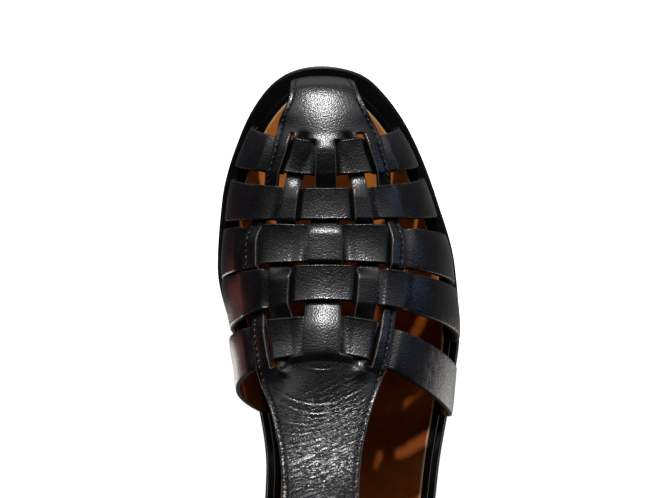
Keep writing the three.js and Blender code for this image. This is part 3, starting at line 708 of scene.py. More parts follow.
def grain_leather(name, pebble, depth, gloss, creased=False, wear_and_painted_light=False):
    """Fine-grained black leather: rounded pebbles with creased valleys, uneven dye and gloss."""
    material, nodes, where = new_material(name)
    pebbles = nodes.add("TexVoronoi", {"Vector": where, "Scale": 1 / (pebble * MM), "Smoothness": 0.5},
                        feature="SMOOTH_F1")
    fine = nodes.noise(where, 0.7 * pebble, detail=2)
    broad = nodes.noise(where, 7, roughness=0.55)
    dome = nodes.math("POWER", pebbles["Distance"], 2.0)
    relief = nodes.math("SUBTRACT", nodes.times(fine, 0.26), dome)
    base = nodes.ramp(broad, BLACK_DYE)
    if creased:
        relief = nodes.math("ADD", relief, fine_creases(nodes, where))
    # On the strap ends the crease lines are lightened: scuffs, and a painted pale sheen that stands in for
    # the reflection the ends catch
    if wear_and_painted_light:
        lines = strap_end_lines(nodes, where)
        relief = nodes.math("ADD", relief, nodes.times(lines, 3.0))
        base = nodes.blend(1.0, base, nodes.ramp(lines, SCUFFS_AND_PAINTED_SHEEN, 0.45, 0.62), "ADD")
    rough = nodes.times(nodes.spread(broad, 0.9, 1.15), nodes.spread(dome, *gloss, 0.02, 0.16))
    nodes.surface(base, rough, relief, depth, specular=0.5)
    return material


def fine_creases(nodes, where):
    """Short slanting creases on the instep bar, fading out at the weave."""
    slanted = nodes.stretched(where, (6.5, 1, 1), (0, 0, math.radians(22)))
    waves = nodes.noise(slanted, 1.3, detail=2)
    beside = nodes.math("ABSOLUTE", nodes.math("SUBTRACT", waves, 0.5))
    on_bar = nodes.spread(nodes.axes(where)["Y"], 3.2, 0.0, *FINE_CREASE_Y)
    return nodes.times(nodes.spread(beside, 0.0, 1.0, 0.0, 0.07), on_bar)


def strap_end_lines(nodes, where):
    """Fine creases where the last straps bend down to the sole on the outer side; the same lines carry a
    painted pale sheen.
    """
    lines = nodes.noise(nodes.stretched(where, (1, 9, 1)), 0.6, detail=3)
    axes = nodes.axes(where)
    on_end = nodes.times(nodes.spread(axes["X"], 0.0, 1.0, *STRAP_END_X),
                         nodes.spread(axes["Y"], 1.0, 0.0, *STRAP_END_Y))
    return nodes.times(lines, on_end)


def raw_edge(name, colours, rough=0.75):
    """The fibrous cut edge of leather."""
    material, nodes, where = new_material(name)
    fibres = nodes.noise(where, 0.5, 5, 0.7)
    nodes.surface(nodes.ramp(fibres, colours), rough, fibres, depth=0.12, specular=0.12)
    return material


def lining_leather(name, colours, rough=(0.42, 0.6), wear_and_painted_light=False):
    """Smooth tan lining, a little mottled, and darker towards the waist: wear, and painted shade where the
    vamp shades it.
    """
    material, nodes, where = new_material(name)
    fine = nodes.noise(where, 0.5)
    base = nodes.ramp(nodes.noise(where, 9, 5, 0.55), colours)
    # Painted shade and wear: the insole darkens towards the waist, under the vamp
    if wear_and_painted_light:
        waist_wear_and_shade = nodes.spread(nodes.axes(where)["Y"], 1.0, 0.0, *WEAR_AND_SHADE_Y)
        base = nodes.blend(waist_wear_and_shade, base, WEAR_AND_SHADE_TINT, "MULTIPLY")
    nodes.surface(base, nodes.spread(fine, *rough), fine, depth=0.05, specular=0.06)
    return material


def moulded_rubber(name, colour, rough, specular):
    """Black rubber or wrapped edge, finely speckled."""
    material, nodes, where = new_material(name)
    broad = nodes.noise(where, 14, 3, 0.55)
    speckle = nodes.noise(where, 0.8)
    base = nodes.ramp(broad, (colour, [1.7 * c for c in colour]))
    nodes.surface(base, nodes.spread(broad, rough, rough + 0.15), speckle, 0.05, specular)
    return material


def brushed_steel(name):
    material, nodes, where = new_material(name)
    scratches = nodes.noise(where, 0.35)
    base = nodes.ramp(scratches, STEEL_COLOURS)
    rough = nodes.spread(scratches, 0.2, 0.34)
    nodes.surface(base, rough, scratches, depth=0.01, specular=0.5, metallic=1.0)
    return material


def waxed_thread(name):
    material, nodes, where = new_material(name)
    twist = nodes.add("TexWave", {"Vector": where, "Scale": 900.0, "Distortion": 2.0},
                      bands_direction="DIAGONAL")["Fac"]
    nodes.surface(nodes.ramp(twist, THREAD_COLOURS), 0.34, twist, depth=0.06, specular=0.35)
    return material


STRAP_GRAIN = grain_leather("strap_leather", 0.58, 0.078, (0.20, 0.30), wear_and_painted_light=True)
VAMP_GRAIN = grain_leather("vamp_leather", 0.56, 0.072, (0.19, 0.29), creased=True)
QUARTER_GRAIN = grain_leather("quarter_leather", 0.58, 0.078, (0.20, 0.30))
CORE_EDGE = raw_edge("cut_edge", ((0.006, 0.005, 0.0045), (0.02, 0.017, 0.014)))
WORN_EDGE = raw_edge("worn_edge", ((0.04, 0.034, 0.028), (0.14, 0.12, 0.10)))
DYED_EDGE = raw_edge("dyed_edge", ((0.002, 0.002, 0.002), (0.006, 0.005, 0.005)), 0.4)
DYED_CORNER = raw_edge("dyed_corner", ((0.006, 0.0055, 0.005), (0.03, 0.026, 0.022)), 0.5)
TAN = lining_leather("tan_lining", ((0.26, 0.083, 0.019), (0.38, 0.13, 0.033)))
INSOLE_TAN = lining_leather("insole_leather", ((0.40, 0.125, 0.02), (0.54, 0.17, 0.03)), wear_and_painted_light=True)
INSOLE_EDGE = lining_leather("insole_edge", ((0.32, 0.18, 0.08), (0.45, 0.28, 0.14)), (0.504, 0.72))
RIM_BLACK = moulded_rubber("rim_leather", (0.002, 0.002, 0.0022), 0.3, 0.05)
RUBBER = moulded_rubber("sole_rubber", (0.002, 0.002, 0.0021), 0.26, 0.28)
MIDSOLE_BLACK = moulded_rubber("midsole_black", (0.002, 0.002, 0.0021), 0.3, 0.15)
STEEL = brushed_steel("satin_steel")
THREAD = waxed_thread("black_thread")

STRAP_SET = (STRAP_GRAIN, TAN, DYED_EDGE, DYED_CORNER)
QUARTER_SET = (QUARTER_GRAIN, TAN, DYED_EDGE, DYED_CORNER)
VAMP_SET = (VAMP_GRAIN, TAN, CORE_EDGE, WORN_EDGE)


# Layers of the sole: rows of inset and height up the edge of each, from its underside to its top
OUTSOLE_PROFILE = ((1.6, 0), (0.8, 0.12), (0.25, 0.5), (0, 1.1), (0, 3.3), (0.08, 3.9), (0.3, 4.35),
                   (0.7, OUTSOLE_TOP), (2.5, OUTSOLE_TOP))
MIDSOLE_LOW = OUTSOLE_TOP + GAP
MIDSOLE_PROFILE = ((2, MIDSOLE_LOW), (0.5, MIDSOLE_LOW), (0.12, MIDSOLE_LOW + 0.25), (0, MIDSOLE_LOW + 0.7),
                   (0, 7.5), (0.1, 7.95), (0.35, 8.22), (0.8, MIDSOLE_TOP), (2.5, MIDSOLE_TOP))
FOOTBED_PROFILE = ((1, FEATHER_LIFT), (0, FEATHER_LIFT), (0, 10.8), (0.1, 11.4), (0.35, 11.8),
                   (0.75, 12.04), (1.3, FOOTBED_TOP), (3.2, FOOTBED_TOP))
INSOLE_LOW = FOOTBED_TOP + GAP
INSOLE_PROFILE = ((0.5, INSOLE_LOW), (0, INSOLE_LOW), (0, 12.95), (0.1, 13.3), (0.35, 13.52),
                  (0.8, INSOLE_TOP), (2.5, INSOLE_TOP))
HEEL_TOP = HEEL_LIFT - GAP
HEEL_PROFILE = ((3.6, 0), (3.0, 0.1), (2.6, 0.5), (2.3, 1.1), (1.5, 8), (0.65, HEEL_TOP - 0.5),
                (0.9, HEEL_TOP))
HEEL_TURN = float(turn_at(0.5 + HEEL_FRONT / LENGTH))
EDGE_BAND = 5
GROOVE = {"pitch": 5.0, "width": 0.30, "depth": 0.8, "wave": 2.2, "wave_length": 15.0, "margin": 7.0,
          "fade": 1.5}


def tread(x, y, edge):
    """Wavy grooves across the underside, clear of its edge."""
    phase = (y + GROOVE["wave"] * np.sin(2 * np.pi * x / GROOVE["wave_length"])) / GROOVE["pitch"]
    in_groove = smooth(np.cos(2 * np.pi * phase), 1 - 2 * GROOVE["width"], 1 - GROOVE["width"])
    margin = GROOVE["margin"]
    return GROOVE["depth"] * in_groove * smooth(edge, margin - GROOVE["fade"], margin)


def layer(profile, inset=0, at_ledge=False, flat=False, last_turn=1.0, treaded=False):
    """A layer of the sole as points, faces and the face that closes its front."""
    turns = np.linspace(0, last_turn, SOLE_STATIONS)
    base = inset + (SOLE["ledge"](turns) if at_ledge else 0 * turns)

    def raised(x, y, height):
        return np.stack([x, y, height + (0 * y if flat else ground(y))], -1)

    def edge_line(side, row_inset, height):
        x, y, _ = rail(side, turns, row_inset + base)
        return raised(x, y, height)

    medial, lateral = ([edge_line(side, *row) for row in profile] for side in SIDES)
    top = []
    for share in np.linspace(0, 1, TOP_COLUMNS + 2)[1:-1]:
        x, y, _ = mix(medial[-1], lateral[-1], share).T
        top.append(raised(x, y, profile[-1][1]))
    bottom = []
    width = np.linalg.norm(lateral[0] - medial[0], axis=-1)
    for share in np.linspace(1, 0, BOTTOM_COLUMNS + 2)[1:-1]:
        x, y, _ = mix(medial[0], lateral[0], share).T
        grooves = tread(x, y, width * min(share, 1 - share)) if treaded else 0
        bottom.append(raised(x, y, profile[0][1] + grooves))
    rings = np.stack([*medial, *top, *reversed(lateral), *bottom], 1)
    around = rings.shape[1]
    points = rings.reshape(-1, 3)
    caps = [list(range(len(points) - around, len(points)))] if last_turn < 1 else []
    return points, grid_faces(SOLE_STATIONS, around, ring_columns=True), caps


def sole_piece(name, profile, materials, slot, **form):
    """One layer; a second material, if it has one, lies on its edge."""
    points, faces, caps = layer(profile, **form)
    column = np.arange(len(faces)) % (len(points) // SOLE_STATIONS)
    mirrored = 2 * len(profile) + TOP_COLUMNS - 2 - column
    banded = (column < EDGE_BAND) | ((mirrored >= 0) & (mirrored < EDGE_BAND))
    bands = np.concatenate([banded * (len(materials) - 1), np.zeros(len(caps))])
    welded(piece(name, points, faces.tolist() + caps, materials, bands, [name.removesuffix("_skin")]))


def build_sole():
    sole_piece("outsole_skin", OUTSOLE_PROFILE, [RUBBER], "sole", treaded=True)
    sole_piece("midsole_skin", MIDSOLE_PROFILE, [MIDSOLE_BLACK], "sole", inset=MIDSOLE_INSET)
    sole_piece("footbed_skin", FOOTBED_PROFILE, [RIM_BLACK], "rim", at_ledge=True)
    sole_piece("insole_skin", INSOLE_PROFILE, [INSOLE_TAN, INSOLE_EDGE], "lining", inset=RIM_WIDTH,
               at_ledge=True)
    sole_piece("heel_skin", HEEL_PROFILE, [RUBBER], "sole", flat=True, last_turn=HEEL_TURN, treaded=True)


# Vamp: toe piece, strips and instep bar in one sheet with slits
SLITS = {"inner slit": (WEAVE_START, WEAVE_END), "outer slit": (TOE_PIECE_END, BAR_START)}


def vamp_rows():
    toe = np.arange(0, TOE_PIECE_END, VAMP_ROWS_OF["toe_step"])
    woven = np.linspace(TOE_PIECE_END, BAR_START, VAMP_ROWS_OF["woven"])
    bar = np.linspace(BAR_START, BAR_END, VAMP_ROWS_OF["bar"])[1:]
    return np.concatenate([toe, woven, bar])


def side_columns(s, side):
    """Columns on one side of the ridge: place across each row, side, strip and share of the strip."""
    edges = [np.zeros_like(s)]
    for index in range(len(VAMP_BANDS)):
        edges.append(across(s, side, lambda y, index=index: strip_bounds(side, y)[index]))
    columns = []
    for band, (kind, cells) in enumerate(VAMP_BANDS):
        for cell in range(1, cells + 1):
            share = cell / cells
            place = mix(edges[band], edges[band + 1], share)
            if kind in SLITS and cell == cells:
                columns.append((place, side, VAMP_BANDS[band + 1][0], 0.0))
            else:
                columns.append((place, side, kind, share))
    return columns


def parted(s):
    """How fully the slits part the strips, from 0 in the toe piece and the bar to 1 in the weave."""
    outside, inside = SLIT_EASE["outside"], SLIT_EASE["inside"]
    opening = smooth(s, WEAVE_START - outside, WEAVE_START + inside)
    return opening * (1 - smooth(s, WEAVE_END - inside, WEAVE_END + outside))


def column_height(s, side, kind, share):
    """How far one column of the vamp stands off the last; the sheet flows across where it isn't slit."""
    centre, inner, outer = (STRIP_HEIGHT[strip](s) for strip in STRIPS)
    twist = STRIP_TWIST * (0.5 - share)
    if kind == "inner":
        twist = mix(BLOCK_TILT[side] * (share - 0.5), twist, smooth(inner, UNDER, OVER))
        whole = inner + (centre - inner) * (1 - smooth(share, 0, STRIP_FLOW["from_centre"]))
        whole = whole + (outer - inner) * smooth(share, STRIP_FLOW["to_outer"], 1)
        return mix(whole, inner + twist, parted(s))
    apart = {"centre": centre, "inner slit": (centre + inner) / 2, "outer slit": (inner + outer) / 2,
             "outer": outer + twist}
    whole = centre if kind in ("centre", "inner slit") else outer
    return mix(whole, apart[kind], parted(s))


def crown_height(s, kinds, shares):
    """How far the strips bulge across their width, and how the centre strip rounds off at the toe piece."""
    centre = np.array([kind == "centre" for kind in kinds])
    slit = np.array([kind in SLITS for kind in kinds])
    crown = STRIP_CROWN * np.where(slit, 0, 1 - np.where(centre, shares, 2 * shares - 1) ** 2)
    nose = NOSE["crown"] * hill(s - WEAVE_START, NOSE["length"])
    return parted(s)[:, None] * (crown - nose[:, None] * np.where(centre, shares, 0) ** 2)


def crease_height(s, offset, y, half):
    """Soft troughs with a ridge beside them across the instep bar, and the puckers."""
    height = np.zeros_like(y)
    u = offset / half
    for medial, middle, lateral, start, end, depth, width in CREASE_ROWS:
        bend = (medial + lateral) / 2 - middle
        away = y - (middle + (lateral - medial) / 2 * u + bend * u * u)
        ends = smooth(u, start, start + CREASE["fade"]) * (1 - smooth(u, end - CREASE["fade"], end))
        ridge = hill(away + CREASE["ridge_at"] * width, CREASE["ridge_width"] * width)
        height += depth * ends * (CREASE["ridge_height"] * ridge - hill(away, width))
    for share, along, rise, radius in PUCKERS:
        height += rise * hill(np.hypot(offset - share * half, y - along), radius)
    return height * smooth(s, BAR_START - CREASE["starts"], BAR_START + CREASE["starts"])


def slit_faces(s, kinds):
    """Faces of the vamp's grid without those inside its slits."""
    near = 0.01
    opened = np.zeros((len(s) - 1, len(kinds) - 1), bool)
    for column, pair in enumerate(zip(kinds, kinds[1:])):
        for slit in set(pair) & set(SLITS):
            start, end = SLITS[slit]
            opened[:, column] = (s[:-1] >= start - near) & (s[1:] <= end + near)
    return grid_faces(len(s), len(kinds))[~opened.ravel()]


def build_vamp():
    rows = vamp_rows()
    medial, lateral = (side_columns(rows, side) for side in SIDES)
    ridge = (np.zeros_like(rows), 1, "centre", 0.0)
    places, sides, kinds, shares = zip(*reversed(medial), ridge, *lateral)
    heights = np.stack([column_height(rows, *column) for column in zip(sides, kinds, shares)], 1)
    crowns = crown_height(rows, kinds, np.array(shares))
    s, v = np.repeat(rows, len(kinds)), np.stack(places, 1).ravel()
    base, normal = last_point(s, v), last_normal(s, v)
    y = base[:, 1]
    offset = base[:, 0] - LAST["x"](s)
    half = np.where(offset < 0, vamp_edge(-1, y), vamp_edge(1, y))
    creased = crease_height(s, offset, y, half)
    seam = hill(half - np.abs(offset) - STITCH_IN, SEAM["width"])
    low = lifted(base, normal, heights.ravel() + CREASE["under"] * creased)
    high = lifted(base, normal, (heights + LEATHER + crowns).ravel() + creased - SEAM["depth"] * seam)
    faces = slit_faces(rows, kinds)
    kept, index = np.unique(faces, return_inverse=True)
    leather_sheet("vamp", low[kept], high[kept], index.reshape(faces.shape), VAMP_SET, ["upper"])


def vamp_seams():
    """Stitch rows along both edges of the vamp."""
    rows = []
    s = np.arange(SEAM["from_toe"], BAR_END - SEAM["from_loop"], SEAM["step"])
    height = STRIP_HEIGHT["outer"](s) + LEATHER - SEAM_SUNK["vamp"]
    for side in SIDES:
        v = across(s, side, lambda y, side=side: vamp_edge(side, y) - STITCH_IN)
        normal = last_normal(s, v)
        rows.append(stitch_row(lifted(last_point(s, v), normal, height), normal))
    return rows


# Straps across the foot
def build_strap(k):
    shares = np.linspace(0, 1, STRAP_CELLS + 1)
    stations = np.linspace(-1, 1, STRAP_STATIONS)
    s, v = (grid.ravel() for grid in np.meshgrid(mix(*strap_span(k), shares), stations, indexing="ij"))
    edgeward = (2 * np.repeat(shares, STRAP_STATIONS) - 1) ** 2
    base, normal = last_point(s, v), last_normal(s, v)
    height, on_strips = strap_height(k, s, base)
    height = height + STRAP_SADDLE[k - 1] * on_strips * (edgeward - SADDLE_LEVEL)
    low = lifted(base, normal, height)
    high = lifted(base, normal, height + LEATHER + STRAP_CROWN * (1 - on_strips) * (1 - edgeward))
    leather_sheet(f"strap_{k}", low, high, grid_faces(STRAP_CELLS + 1, STRAP_STATIONS), STRAP_SET)


# Ankle strap, counter, loop, tip and keeper
def strap_frame(angle):
    """The middle of the ankle strap at an angle round the ankle, and the ways up, out and away from it."""
    a = np.radians(angle)
    cos, sin = np.cos(a), np.sin(a)
    centre = np.stack([ANKLE["x"] + ANKLE["sway"] * cos + ANKLE["half_width"] * sin,
                       ANKLE["y"] + ANKLE["half_length"] * cos,
                       ANKLE["z"] + ANKLE["tilt"] * cos], -1)
    radial = unit(np.stack([sin / ANKLE["half_width"], cos / ANKLE["half_length"], 0 * cos], -1))
    lean = np.radians(mix(LEAN["back"], LEAN["front"], smooth(cos, LEAN["starts_at"], 1)))
    up = -radial * np.cos(lean)[..., None]
    up[..., 2] = np.sin(lean)
    out = radial * np.sin(lean)[..., None]
    out[..., 2] = np.cos(lean)
    return centre, up, out, radial


def strap_point(angle, width, height):
    centre, up, out, _ = strap_frame(angle)
    return centre + up * np.asarray(width)[..., None] + out * np.asarray(height)[..., None]


def strap_degree(start, end):
    """Length of one degree of the strap's middle, between two angles."""
    ends = strap_point(np.array([start, end], float), np.zeros(2), np.zeros(2))
    return np.linalg.norm(ends[1] - ends[0]) / (end - start)


def counter_point(angle, w):
    """The inner face of the counter and strap, whose lower edge drops to the sole behind the ankle."""
    angle = np.mod(angle, 360)
    radial = strap_frame(angle)[3]
    half = np.full_like(angle, STRAP_HALF)
    top, strap_edge = strap_point(angle, half, 0 * half), strap_point(angle, -half, 0 * half)
    around = np.where(angle <= 180, angle, 360 - angle)
    share = smooth(around, COUNTER["start"], COUNTER["full"])
    turn = np.clip(COUNTER["reach"] * (180 - around) / (180 - COUNTER["full"]), 0, 1)
    foot, level = np.empty_like(top), np.zeros_like(top)
    for side in SIDES:
        mine = (angle <= 180) == (side > 0)
        foot[mine], level[mine, :2] = feather_at(side, turn[mine])
    bottom = mix(strap_edge, foot, share[:, None])
    bulge = COUNTER["bulge"] * share * np.sin(np.pi * w) * (1 - COUNTER["draw_in"] * w)
    return mix(bottom, top, w[:, None]) + radial * bulge[:, None], level, share


def counter_frame(angle, w):
    """Points of the inner face and the way out there."""
    point, level, share = counter_point(angle, w)
    da, dw = 0.5, 0.01
    along = counter_point(angle + da, w)[0] - counter_point(angle - da, w)[0]
    upward = counter_point(angle, np.clip(w + dw, 0, 1))[0] - counter_point(angle, np.clip(w - dw, 0, 1))[0]
    normal = unit(np.cross(upward, along))
    return point, unit(mix(normal, level, (share * (1 - smooth(w, 0, COUNTER["foot"])))[:, None]))


def build_back_quarter():
    angles = np.arange(COUNTER_STATIONS) * 360 / COUNTER_STATIONS
    w, angle = np.meshgrid(np.linspace(0, 1, COUNTER_ROWS + 1), angles, indexing="ij")
    point, normal = counter_frame(angle.ravel(), w.ravel())
    faces = grid_faces(COUNTER_ROWS + 1, COUNTER_STATIONS, ring_columns=True)
    high = point + normal * LEATHER
    leather_sheet("back_quarter_leather", point, high, faces, QUARTER_SET, ["back_quarter"])


def quarter_seams():
    """Stitch rows inside the upper and lower edges of the ankle strap and counter."""
    rows = []
    for name, (start, end) in QUARTER_SEAMS.items():
        angle = np.arange(start, end, SEAM["step"])
        ones = np.ones_like(angle)
        size = np.linalg.norm(counter_point(angle, ones)[0] - counter_point(angle, 0 * ones)[0], axis=-1)
        w = 1 - STITCH_IN / size if name == "top" else LOWER_SEAM / size
        point, normal = counter_frame(angle, w)
        rows.append(stitch_row(point + normal * (LEATHER - SEAM_SUNK["quarter"]), normal))
    return rows


def sleeve(name, angles, high_height, wall, materials, replaces=()):
    """A leather sleeve round the strap, as a sheet that closes on itself."""
    inner = SLEEVE_CORNER
    wide, low_height, high_height = STRAP_HALF + GAP - inner, inner - GAP, high_height - inner
    corners = [(wide, high_height, 90), (wide, low_height, 0), (-wide, low_height, -90),
               (-wide, high_height, -180)]
    ring = []
    for index, (width, height, start) in enumerate(corners):
        previous = corners[index - 1]
        for share in np.linspace(0, 1, SLEEVE_FLAT + 1)[1:-1]:
            ring.append((mix(previous[0], width, share), mix(previous[1], height, share), start))
        ring.extend((width, height, start - turn) for turn in np.linspace(0, 90, SLEEVE_TURN))
    low, high = [], []
    for width, height, turn in ring:
        sideways, out = math.cos(math.radians(turn)), math.sin(math.radians(turn))
        for points, reach in ((low, inner), (high, inner + wall)):
            points.append(strap_point(angles, width + reach * sideways + 0 * angles,
                                      height + reach * out + 0 * angles))
    faces = grid_faces(len(ring), len(angles), ring_rows=True)
    leather_sheet(name, np.concatenate(low), np.concatenate(high), faces, materials, replaces)


def build_loop():
    angles = np.linspace(-LOOP_HALF_ANGLE, LOOP_HALF_ANGLE, LOOP_STATIONS)
    sleeve("strap_loop", angles, LEATHER + GAP, LEATHER, VAMP_SET)


def build_keeper():
    angles = np.linspace(KEEPER["start"], KEEPER["end"], KEEPER_STATIONS)
    inside = 2 * LEATHER - TUCK + GAP
    sleeve("keeper_leather", angles, inside, KEEPER["leather"], QUARTER_SET, ["strap_keeper"])


BAR_HEIGHT = LEATHER + GAP + BUCKLE["wire"]
TIP_CLEAR = LEATHER + 2 * GAP + 2 * BUCKLE["wire"]
TIP_REST = LEATHER - TUCK
tip_angles = [TIP["start"], TIP["start"] + TIP["climb"], TIP["crest"] - TIP["climb"], TIP["crest"],
              TIP["crest"] + TIP["climb"], TIP["down"], TIP["end"]]
tip_heights = [TUCK, TIP_REST, TIP_CLEAR, TIP_CLEAR + TUCK, TIP_CLEAR, TIP_REST, TIP_REST]
TIP_HEIGHT = monotone_curve(np.array(tip_angles, float), np.array(tip_heights, float))


def build_tip():
    angles = np.linspace(TIP["start"], TIP["end"], TIP_STATIONS)
    taper = np.clip((angles - TIP["end"] + TIP["taper"]) / TIP["taper"], 0, 1)
    half = STRAP_HALF * mix(TIP["width"], TIP["point"], taper**2)
    w, angle = np.meshgrid(np.linspace(-1, 1, TIP_ROWS), angles, indexing="ij")
    width, angle = (w * half).ravel(), angle.ravel()
    low = strap_point(angle, width, TIP_HEIGHT(angle))
    high = strap_point(angle, width, TIP_HEIGHT(angle) + LEATHER)
    leather_sheet("strap_tip", low, high, grid_faces(TIP_ROWS, TIP_STATIONS), QUARTER_SET)


# The punched hole from its rim to its middle: share of the radius, and height off the leather
HOLE_PROFILE = ((1.0, 0.0), (0.9, 0.08), (0.75, 0.03), (0.4, 0.02), (0.01, 0.02))


def build_hole():
    """The free hole of the ankle strap, as a dark dish with a pressed rim on its tip."""
    turn = np.linspace(0, 2 * np.pi, HOLE_STATIONS, endpoint=False)
    degree = strap_degree(HOLE["angle"] - 0.5, HOLE["angle"] + 0.5)
    rings = []
    for share, height in HOLE_PROFILE:
        reach = HOLE["radius"] * share
        angle = HOLE["angle"] + reach * np.sin(turn) / degree
        rings.append(strap_point(angle, reach * np.cos(turn), TIP_HEIGHT(angle) + LEATHER + height))
    faces = grid_faces(len(rings), HOLE_STATIONS, ring_columns=True)
    piece("strap_hole", np.concatenate(rings), faces, [DYED_EDGE])


def wire_piece(name, replaced, points, ups, radii, sides, loop):
    """A round steel wire along points, each with its own upward direction and radius."""
    ahead = np.roll(points, -1, axis=0) if loop else np.concatenate([points[1:], points[-1:]])
    behind = np.roll(points, 1, axis=0) if loop else np.concatenate([points[:1], points[:-1]])
    along = unit(ahead - behind)
    sideways = unit(np.cross(along, ups))
    rise = np.cross(sideways, along)
    around = np.arange(sides) * 2 * np.pi / sides
    ring = sideways[:, None] * np.cos(around)[None, :, None] + rise[:, None] * np.sin(around)[None, :, None]
    body = points[:, None] + ring * radii[:, None, None]
    faces = grid_faces(len(points), sides, ring_rows=loop, ring_columns=True).tolist()
    if not loop:
        end = (len(points) - 1) * sides
        faces += [list(range(sides)), [end + i for i in range(sides)]]
    welded(piece(name, body.reshape(-1, 3), faces, [STEEL], replaces=[replaced]))


def build_buckle_frame():
    front, bar, corner = BUCKLE["front"], BUCKLE["heel_bar"], BUCKLE["corner"]
    turn = corner / strap_degree(front, bar)
    half = STRAP_HALF + BUCKLE["side"] + BUCKLE["wire"]
    corners = [(bar - turn, half - corner, 0), (front + turn, half - corner, 90),
               (front + turn, corner - half, 180), (bar - turn, corner - half, 270)]
    path = []
    for (angle, width, start), following in zip(corners, corners[1:] + corners[:1]):
        for a in np.radians(np.linspace(start, start + 90, FRAME_TURN)):
            path.append((angle + turn * math.cos(a), width + corner * math.sin(a)))
        tail = path[-1]
        head = (following[0] + tail[0] - angle, following[1] + tail[1] - width)
        for t in np.linspace(0, 1, FRAME_FLAT)[1:-1]:
            path.append((mix(tail[0], head[0], t), mix(tail[1], head[1], t)))
    angles, widths = np.array(path).T
    points = strap_point(angles, widths, 0 * angles + BAR_HEIGHT)
    outward, radii = strap_frame(angles)[2], 0 * angles + BUCKLE["wire"]
    wire_piece("buckle_frame_wire", "buckle_frame", points, outward, radii, FRAME_SIDES, True)


def build_buckle_prong():
    front, bar, thick = BUCKLE["front"], BUCKLE["heel_bar"], BUCKLE["prong"]
    seat = BAR_HEIGHT + BUCKLE["wire"] + GAP
    rise = 2 * BUCKLE["wire"]
    places = np.array([front - PRONG["overhang"], front, front + PRONG["climb"],
                       (front + bar) / 2 + PRONG["bow_at"], bar + PRONG["dip_at"], bar + PRONG["end"]])
    heights = np.array([seat, seat + thick, BAR_HEIGHT + rise, BAR_HEIGHT + rise + PRONG["bow"],
                        BAR_HEIGHT + rise * PRONG["dip"], BAR_HEIGHT])
    angles = np.linspace(places[0], places[-1], PRONG_STATIONS)
    points = strap_point(angles, 0 * angles, monotone_curve(places, heights)(angles))
    slim = mix(PRONG["tip"], 1, smooth(angles, angles[0], angles[0] + PRONG["taper"]))
    upward, radii = strap_frame(angles)[1], thick * slim
    wire_piece("buckle_prong_pin", "buckle_prong", points, upward, radii, PRONG_SIDES, False)


def build_seams():
    points, faces = join_parts(vamp_seams() + quarter_seams())
    piece("stitching", points, faces, [THREAD])


# Stage, in metres
FLOOR = {"half": 6, "height": -0.00005, "colours": ((0.86, 0.86, 0.86), (0.88, 0.88, 0.88))}


def build_floor():
    material, nodes, where = new_material("pale_floor")
    nodes.fill(nodes.tree.nodes["Principled BSDF"], {
        "Base Color": nodes.ramp(nodes.noise(where, 400, 2, 0.55), FLOOR["colours"]), "Roughness": 0.9,
        "Specular IOR Level": 0.0, "Emission Color": (1, 1, 1, 1), "Emission Strength": 1.0})
    mesh = bpy.data.meshes.new("floor")
    half = FLOOR["half"]
    corners = [(-half, -half, 0), (half, -half, 0), (half, half, 0), (-half, half, 0)]
    mesh.from_pydata(corners, [], [(0, 1, 2, 3)])
    mesh.materials.append(material)
    floor = placed("floor", mesh)
    floor.location.z = FLOOR["height"]
    floor.visible_glossy = False
    floor.visible_diffuse = False
    floor.visible_shadow = False


# The key light stands low beyond the toe, in the middle of a wide soft glow
KEY_ELEVATION = math.radians(31)
KEY_AZIMUTH = math.radians(-1)
KEY_FROM = (math.sin(KEY_AZIMUTH) * math.cos(KEY_ELEVATION), math.cos(KEY_AZIMUTH) * math.cos(KEY_ELEVATION),
            math.sin(KEY_ELEVATION))
KEY_POWER = 3.2
KEY_COLOUR = (1.0, 0.98, 0.99)
KEY_SPREAD = math.radians(2.2)
GLOW_WIDTH = (0.3, 1.0, 1.0)
GLOW_FROM = (0.87, 0.995)
SKY = ((0.032, 0.030, 0.042), (0.011, 0.009, 0.016))
PALE_SIDE = (0.46, 0.43, 0.39, 1)
KEY_GLOW = (1.6, 1.6, 1.66, 1)
PALE_BEHIND = (0.7, 0.7, 0.72, 1)
PALE_AHEAD = (0.6, 0.6, 0.62, 1)


def build_world():
    world = bpy.data.worlds.new("studio")
    bpy.context.scene.world = world
    nodes = Nodes(world)
    where = nodes.add("TexCoord")["Generated"]
    axes = nodes.axes(where)
    along, height = axes["Y"], axes["Z"]
    below = nodes.math("SUBTRACT", height, nodes.times(axes["X"], 0.6))
    beside = nodes.times(nodes.spread(along, 1.0, 0.0, -0.6, 0.5), nodes.spread(below, 1.0, 0.0, -1.1, -0.6))
    wide = nodes.add("VectorMath", {0: where, 1: GLOW_WIDTH}, operation="MULTIPLY")["Vector"]
    towards = nodes.add("VectorMath", {0: wide}, operation="NORMALIZE")["Vector"]
    facing = nodes.add("VectorMath", {0: towards, 1: KEY_FROM}, operation="DOT_PRODUCT")["Value"]
    behind = nodes.times(nodes.spread(along, 1.0, 0.0, -0.85, -0.35),
                         nodes.spread(height, 1.0, 0.0, -0.1, 0.2))
    ahead = nodes.times(nodes.spread(along, 0.0, 1.0, 0.4, 0.8),
                        nodes.spread(height, 1.0, 0.0, -0.3, 0.0))
    colour = nodes.ramp(height, SKY, 0.0, 0.6)
    for share, glow in ((beside, PALE_SIDE), (nodes.spread(facing, 0.0, 1.0, *GLOW_FROM), KEY_GLOW),
                        (behind, PALE_BEHIND), (ahead, PALE_AHEAD)):
        colour = nodes.blend(share, colour, glow)
    nodes.fill(nodes.tree.nodes["Background"], {"Color": colour, "Strength": 1.0})


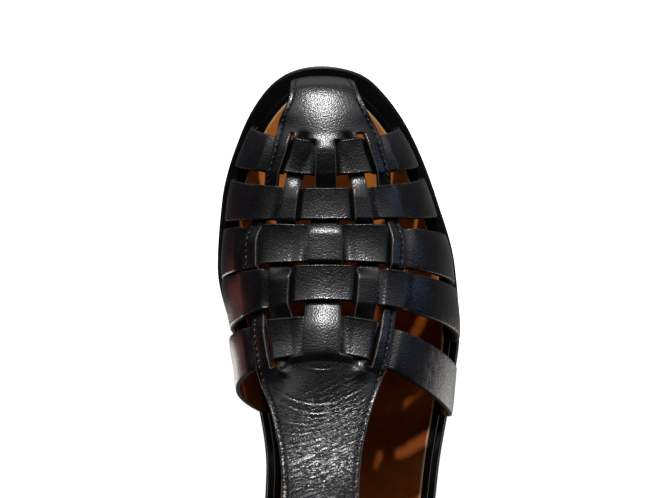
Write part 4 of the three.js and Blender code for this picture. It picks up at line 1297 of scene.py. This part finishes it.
# Area lights: position, what they point at, size, power and colour
MIDDLE = (0, 0, 0.04)
AREA_LIGHTS = {
    "blue_side": ((0.94, 0.42, 0.24), MIDDLE, (0.07, 0.07), 0.35, (0.35, 0.55, 1.0)),
    "warm_side": ((-0.87, -0.1, -0.5), MIDDLE, (0.34, 0.34), 0.38, (1.0, 0.25, 0.20)),
    "outer_strap_end": ((0.14, -0.035, -0.035), (0.045, 0, 0.02), (0.09, 0.13), 0.096, (1.0, 0.97, 0.92)),
    "inner_strap_end": ((-0.1, -0.02, -0.075), (-0.045, 0, 0.02), (0.07, 0.06), 0.05, (1.0, 0.95, 0.9)),
    "heel_fill": ((-0.5, -1.2, 0.7), MIDDLE, (0.8, 0.8), 0.3, (1.0, 1.0, 1.0)),
}


def add_light(name, kind, position, target, power, colour):
    light = bpy.data.lights.new(name, kind)
    light.energy = power
    light.color = colour
    obj = placed(name, light)
    obj.location = position
    dx, dy, dz = (b - a for a, b in zip(position, target))
    tilt = math.pi / 2 + math.atan2(dz, math.hypot(dx, dy))
    obj.rotation_euler = (tilt, 0, math.atan2(dy, dx) - math.pi / 2)
    return light


def build_lights():
    sun = add_light("key", "SUN", KEY_FROM, (0, 0, 0), KEY_POWER, KEY_COLOUR)
    sun.angle = KEY_SPREAD
    for name, (position, target, size, power, colour) in AREA_LIGHTS.items():
        light = add_light(name, "AREA", position, target, power, colour)
        light.shape = "RECTANGLE"
        light.size, light.size_y = size


# Camera: straight down, as in the photograph
CAMERA_AT = (-0.00253, 0.0589, 1.0)
FOCAL_PIXELS = 2547
FRAME_PIXELS = 665
SENSOR_MM = 36
CLIP_START = 0.05


def build_camera():
    camera = bpy.data.cameras.new("camera")
    camera.sensor_width = SENSOR_MM
    camera.lens = SENSOR_MM * FOCAL_PIXELS / FRAME_PIXELS
    camera.clip_start = CLIP_START
    obj = placed("camera", camera)
    obj.location = CAMERA_AT
    bpy.context.scene.camera = obj


build_camera()
build_world()
build_lights()
build_floor()
build_sole()
build_vamp()
for strap in range(1, STRAP_COUNT + 1):
    build_strap(strap)
build_loop()
build_back_quarter()
build_tip()
build_hole()
build_keeper()
build_buckle_frame()
build_buckle_prong()
build_seams()
bpy.context.scene.view_settings.view_transform = "Standard"
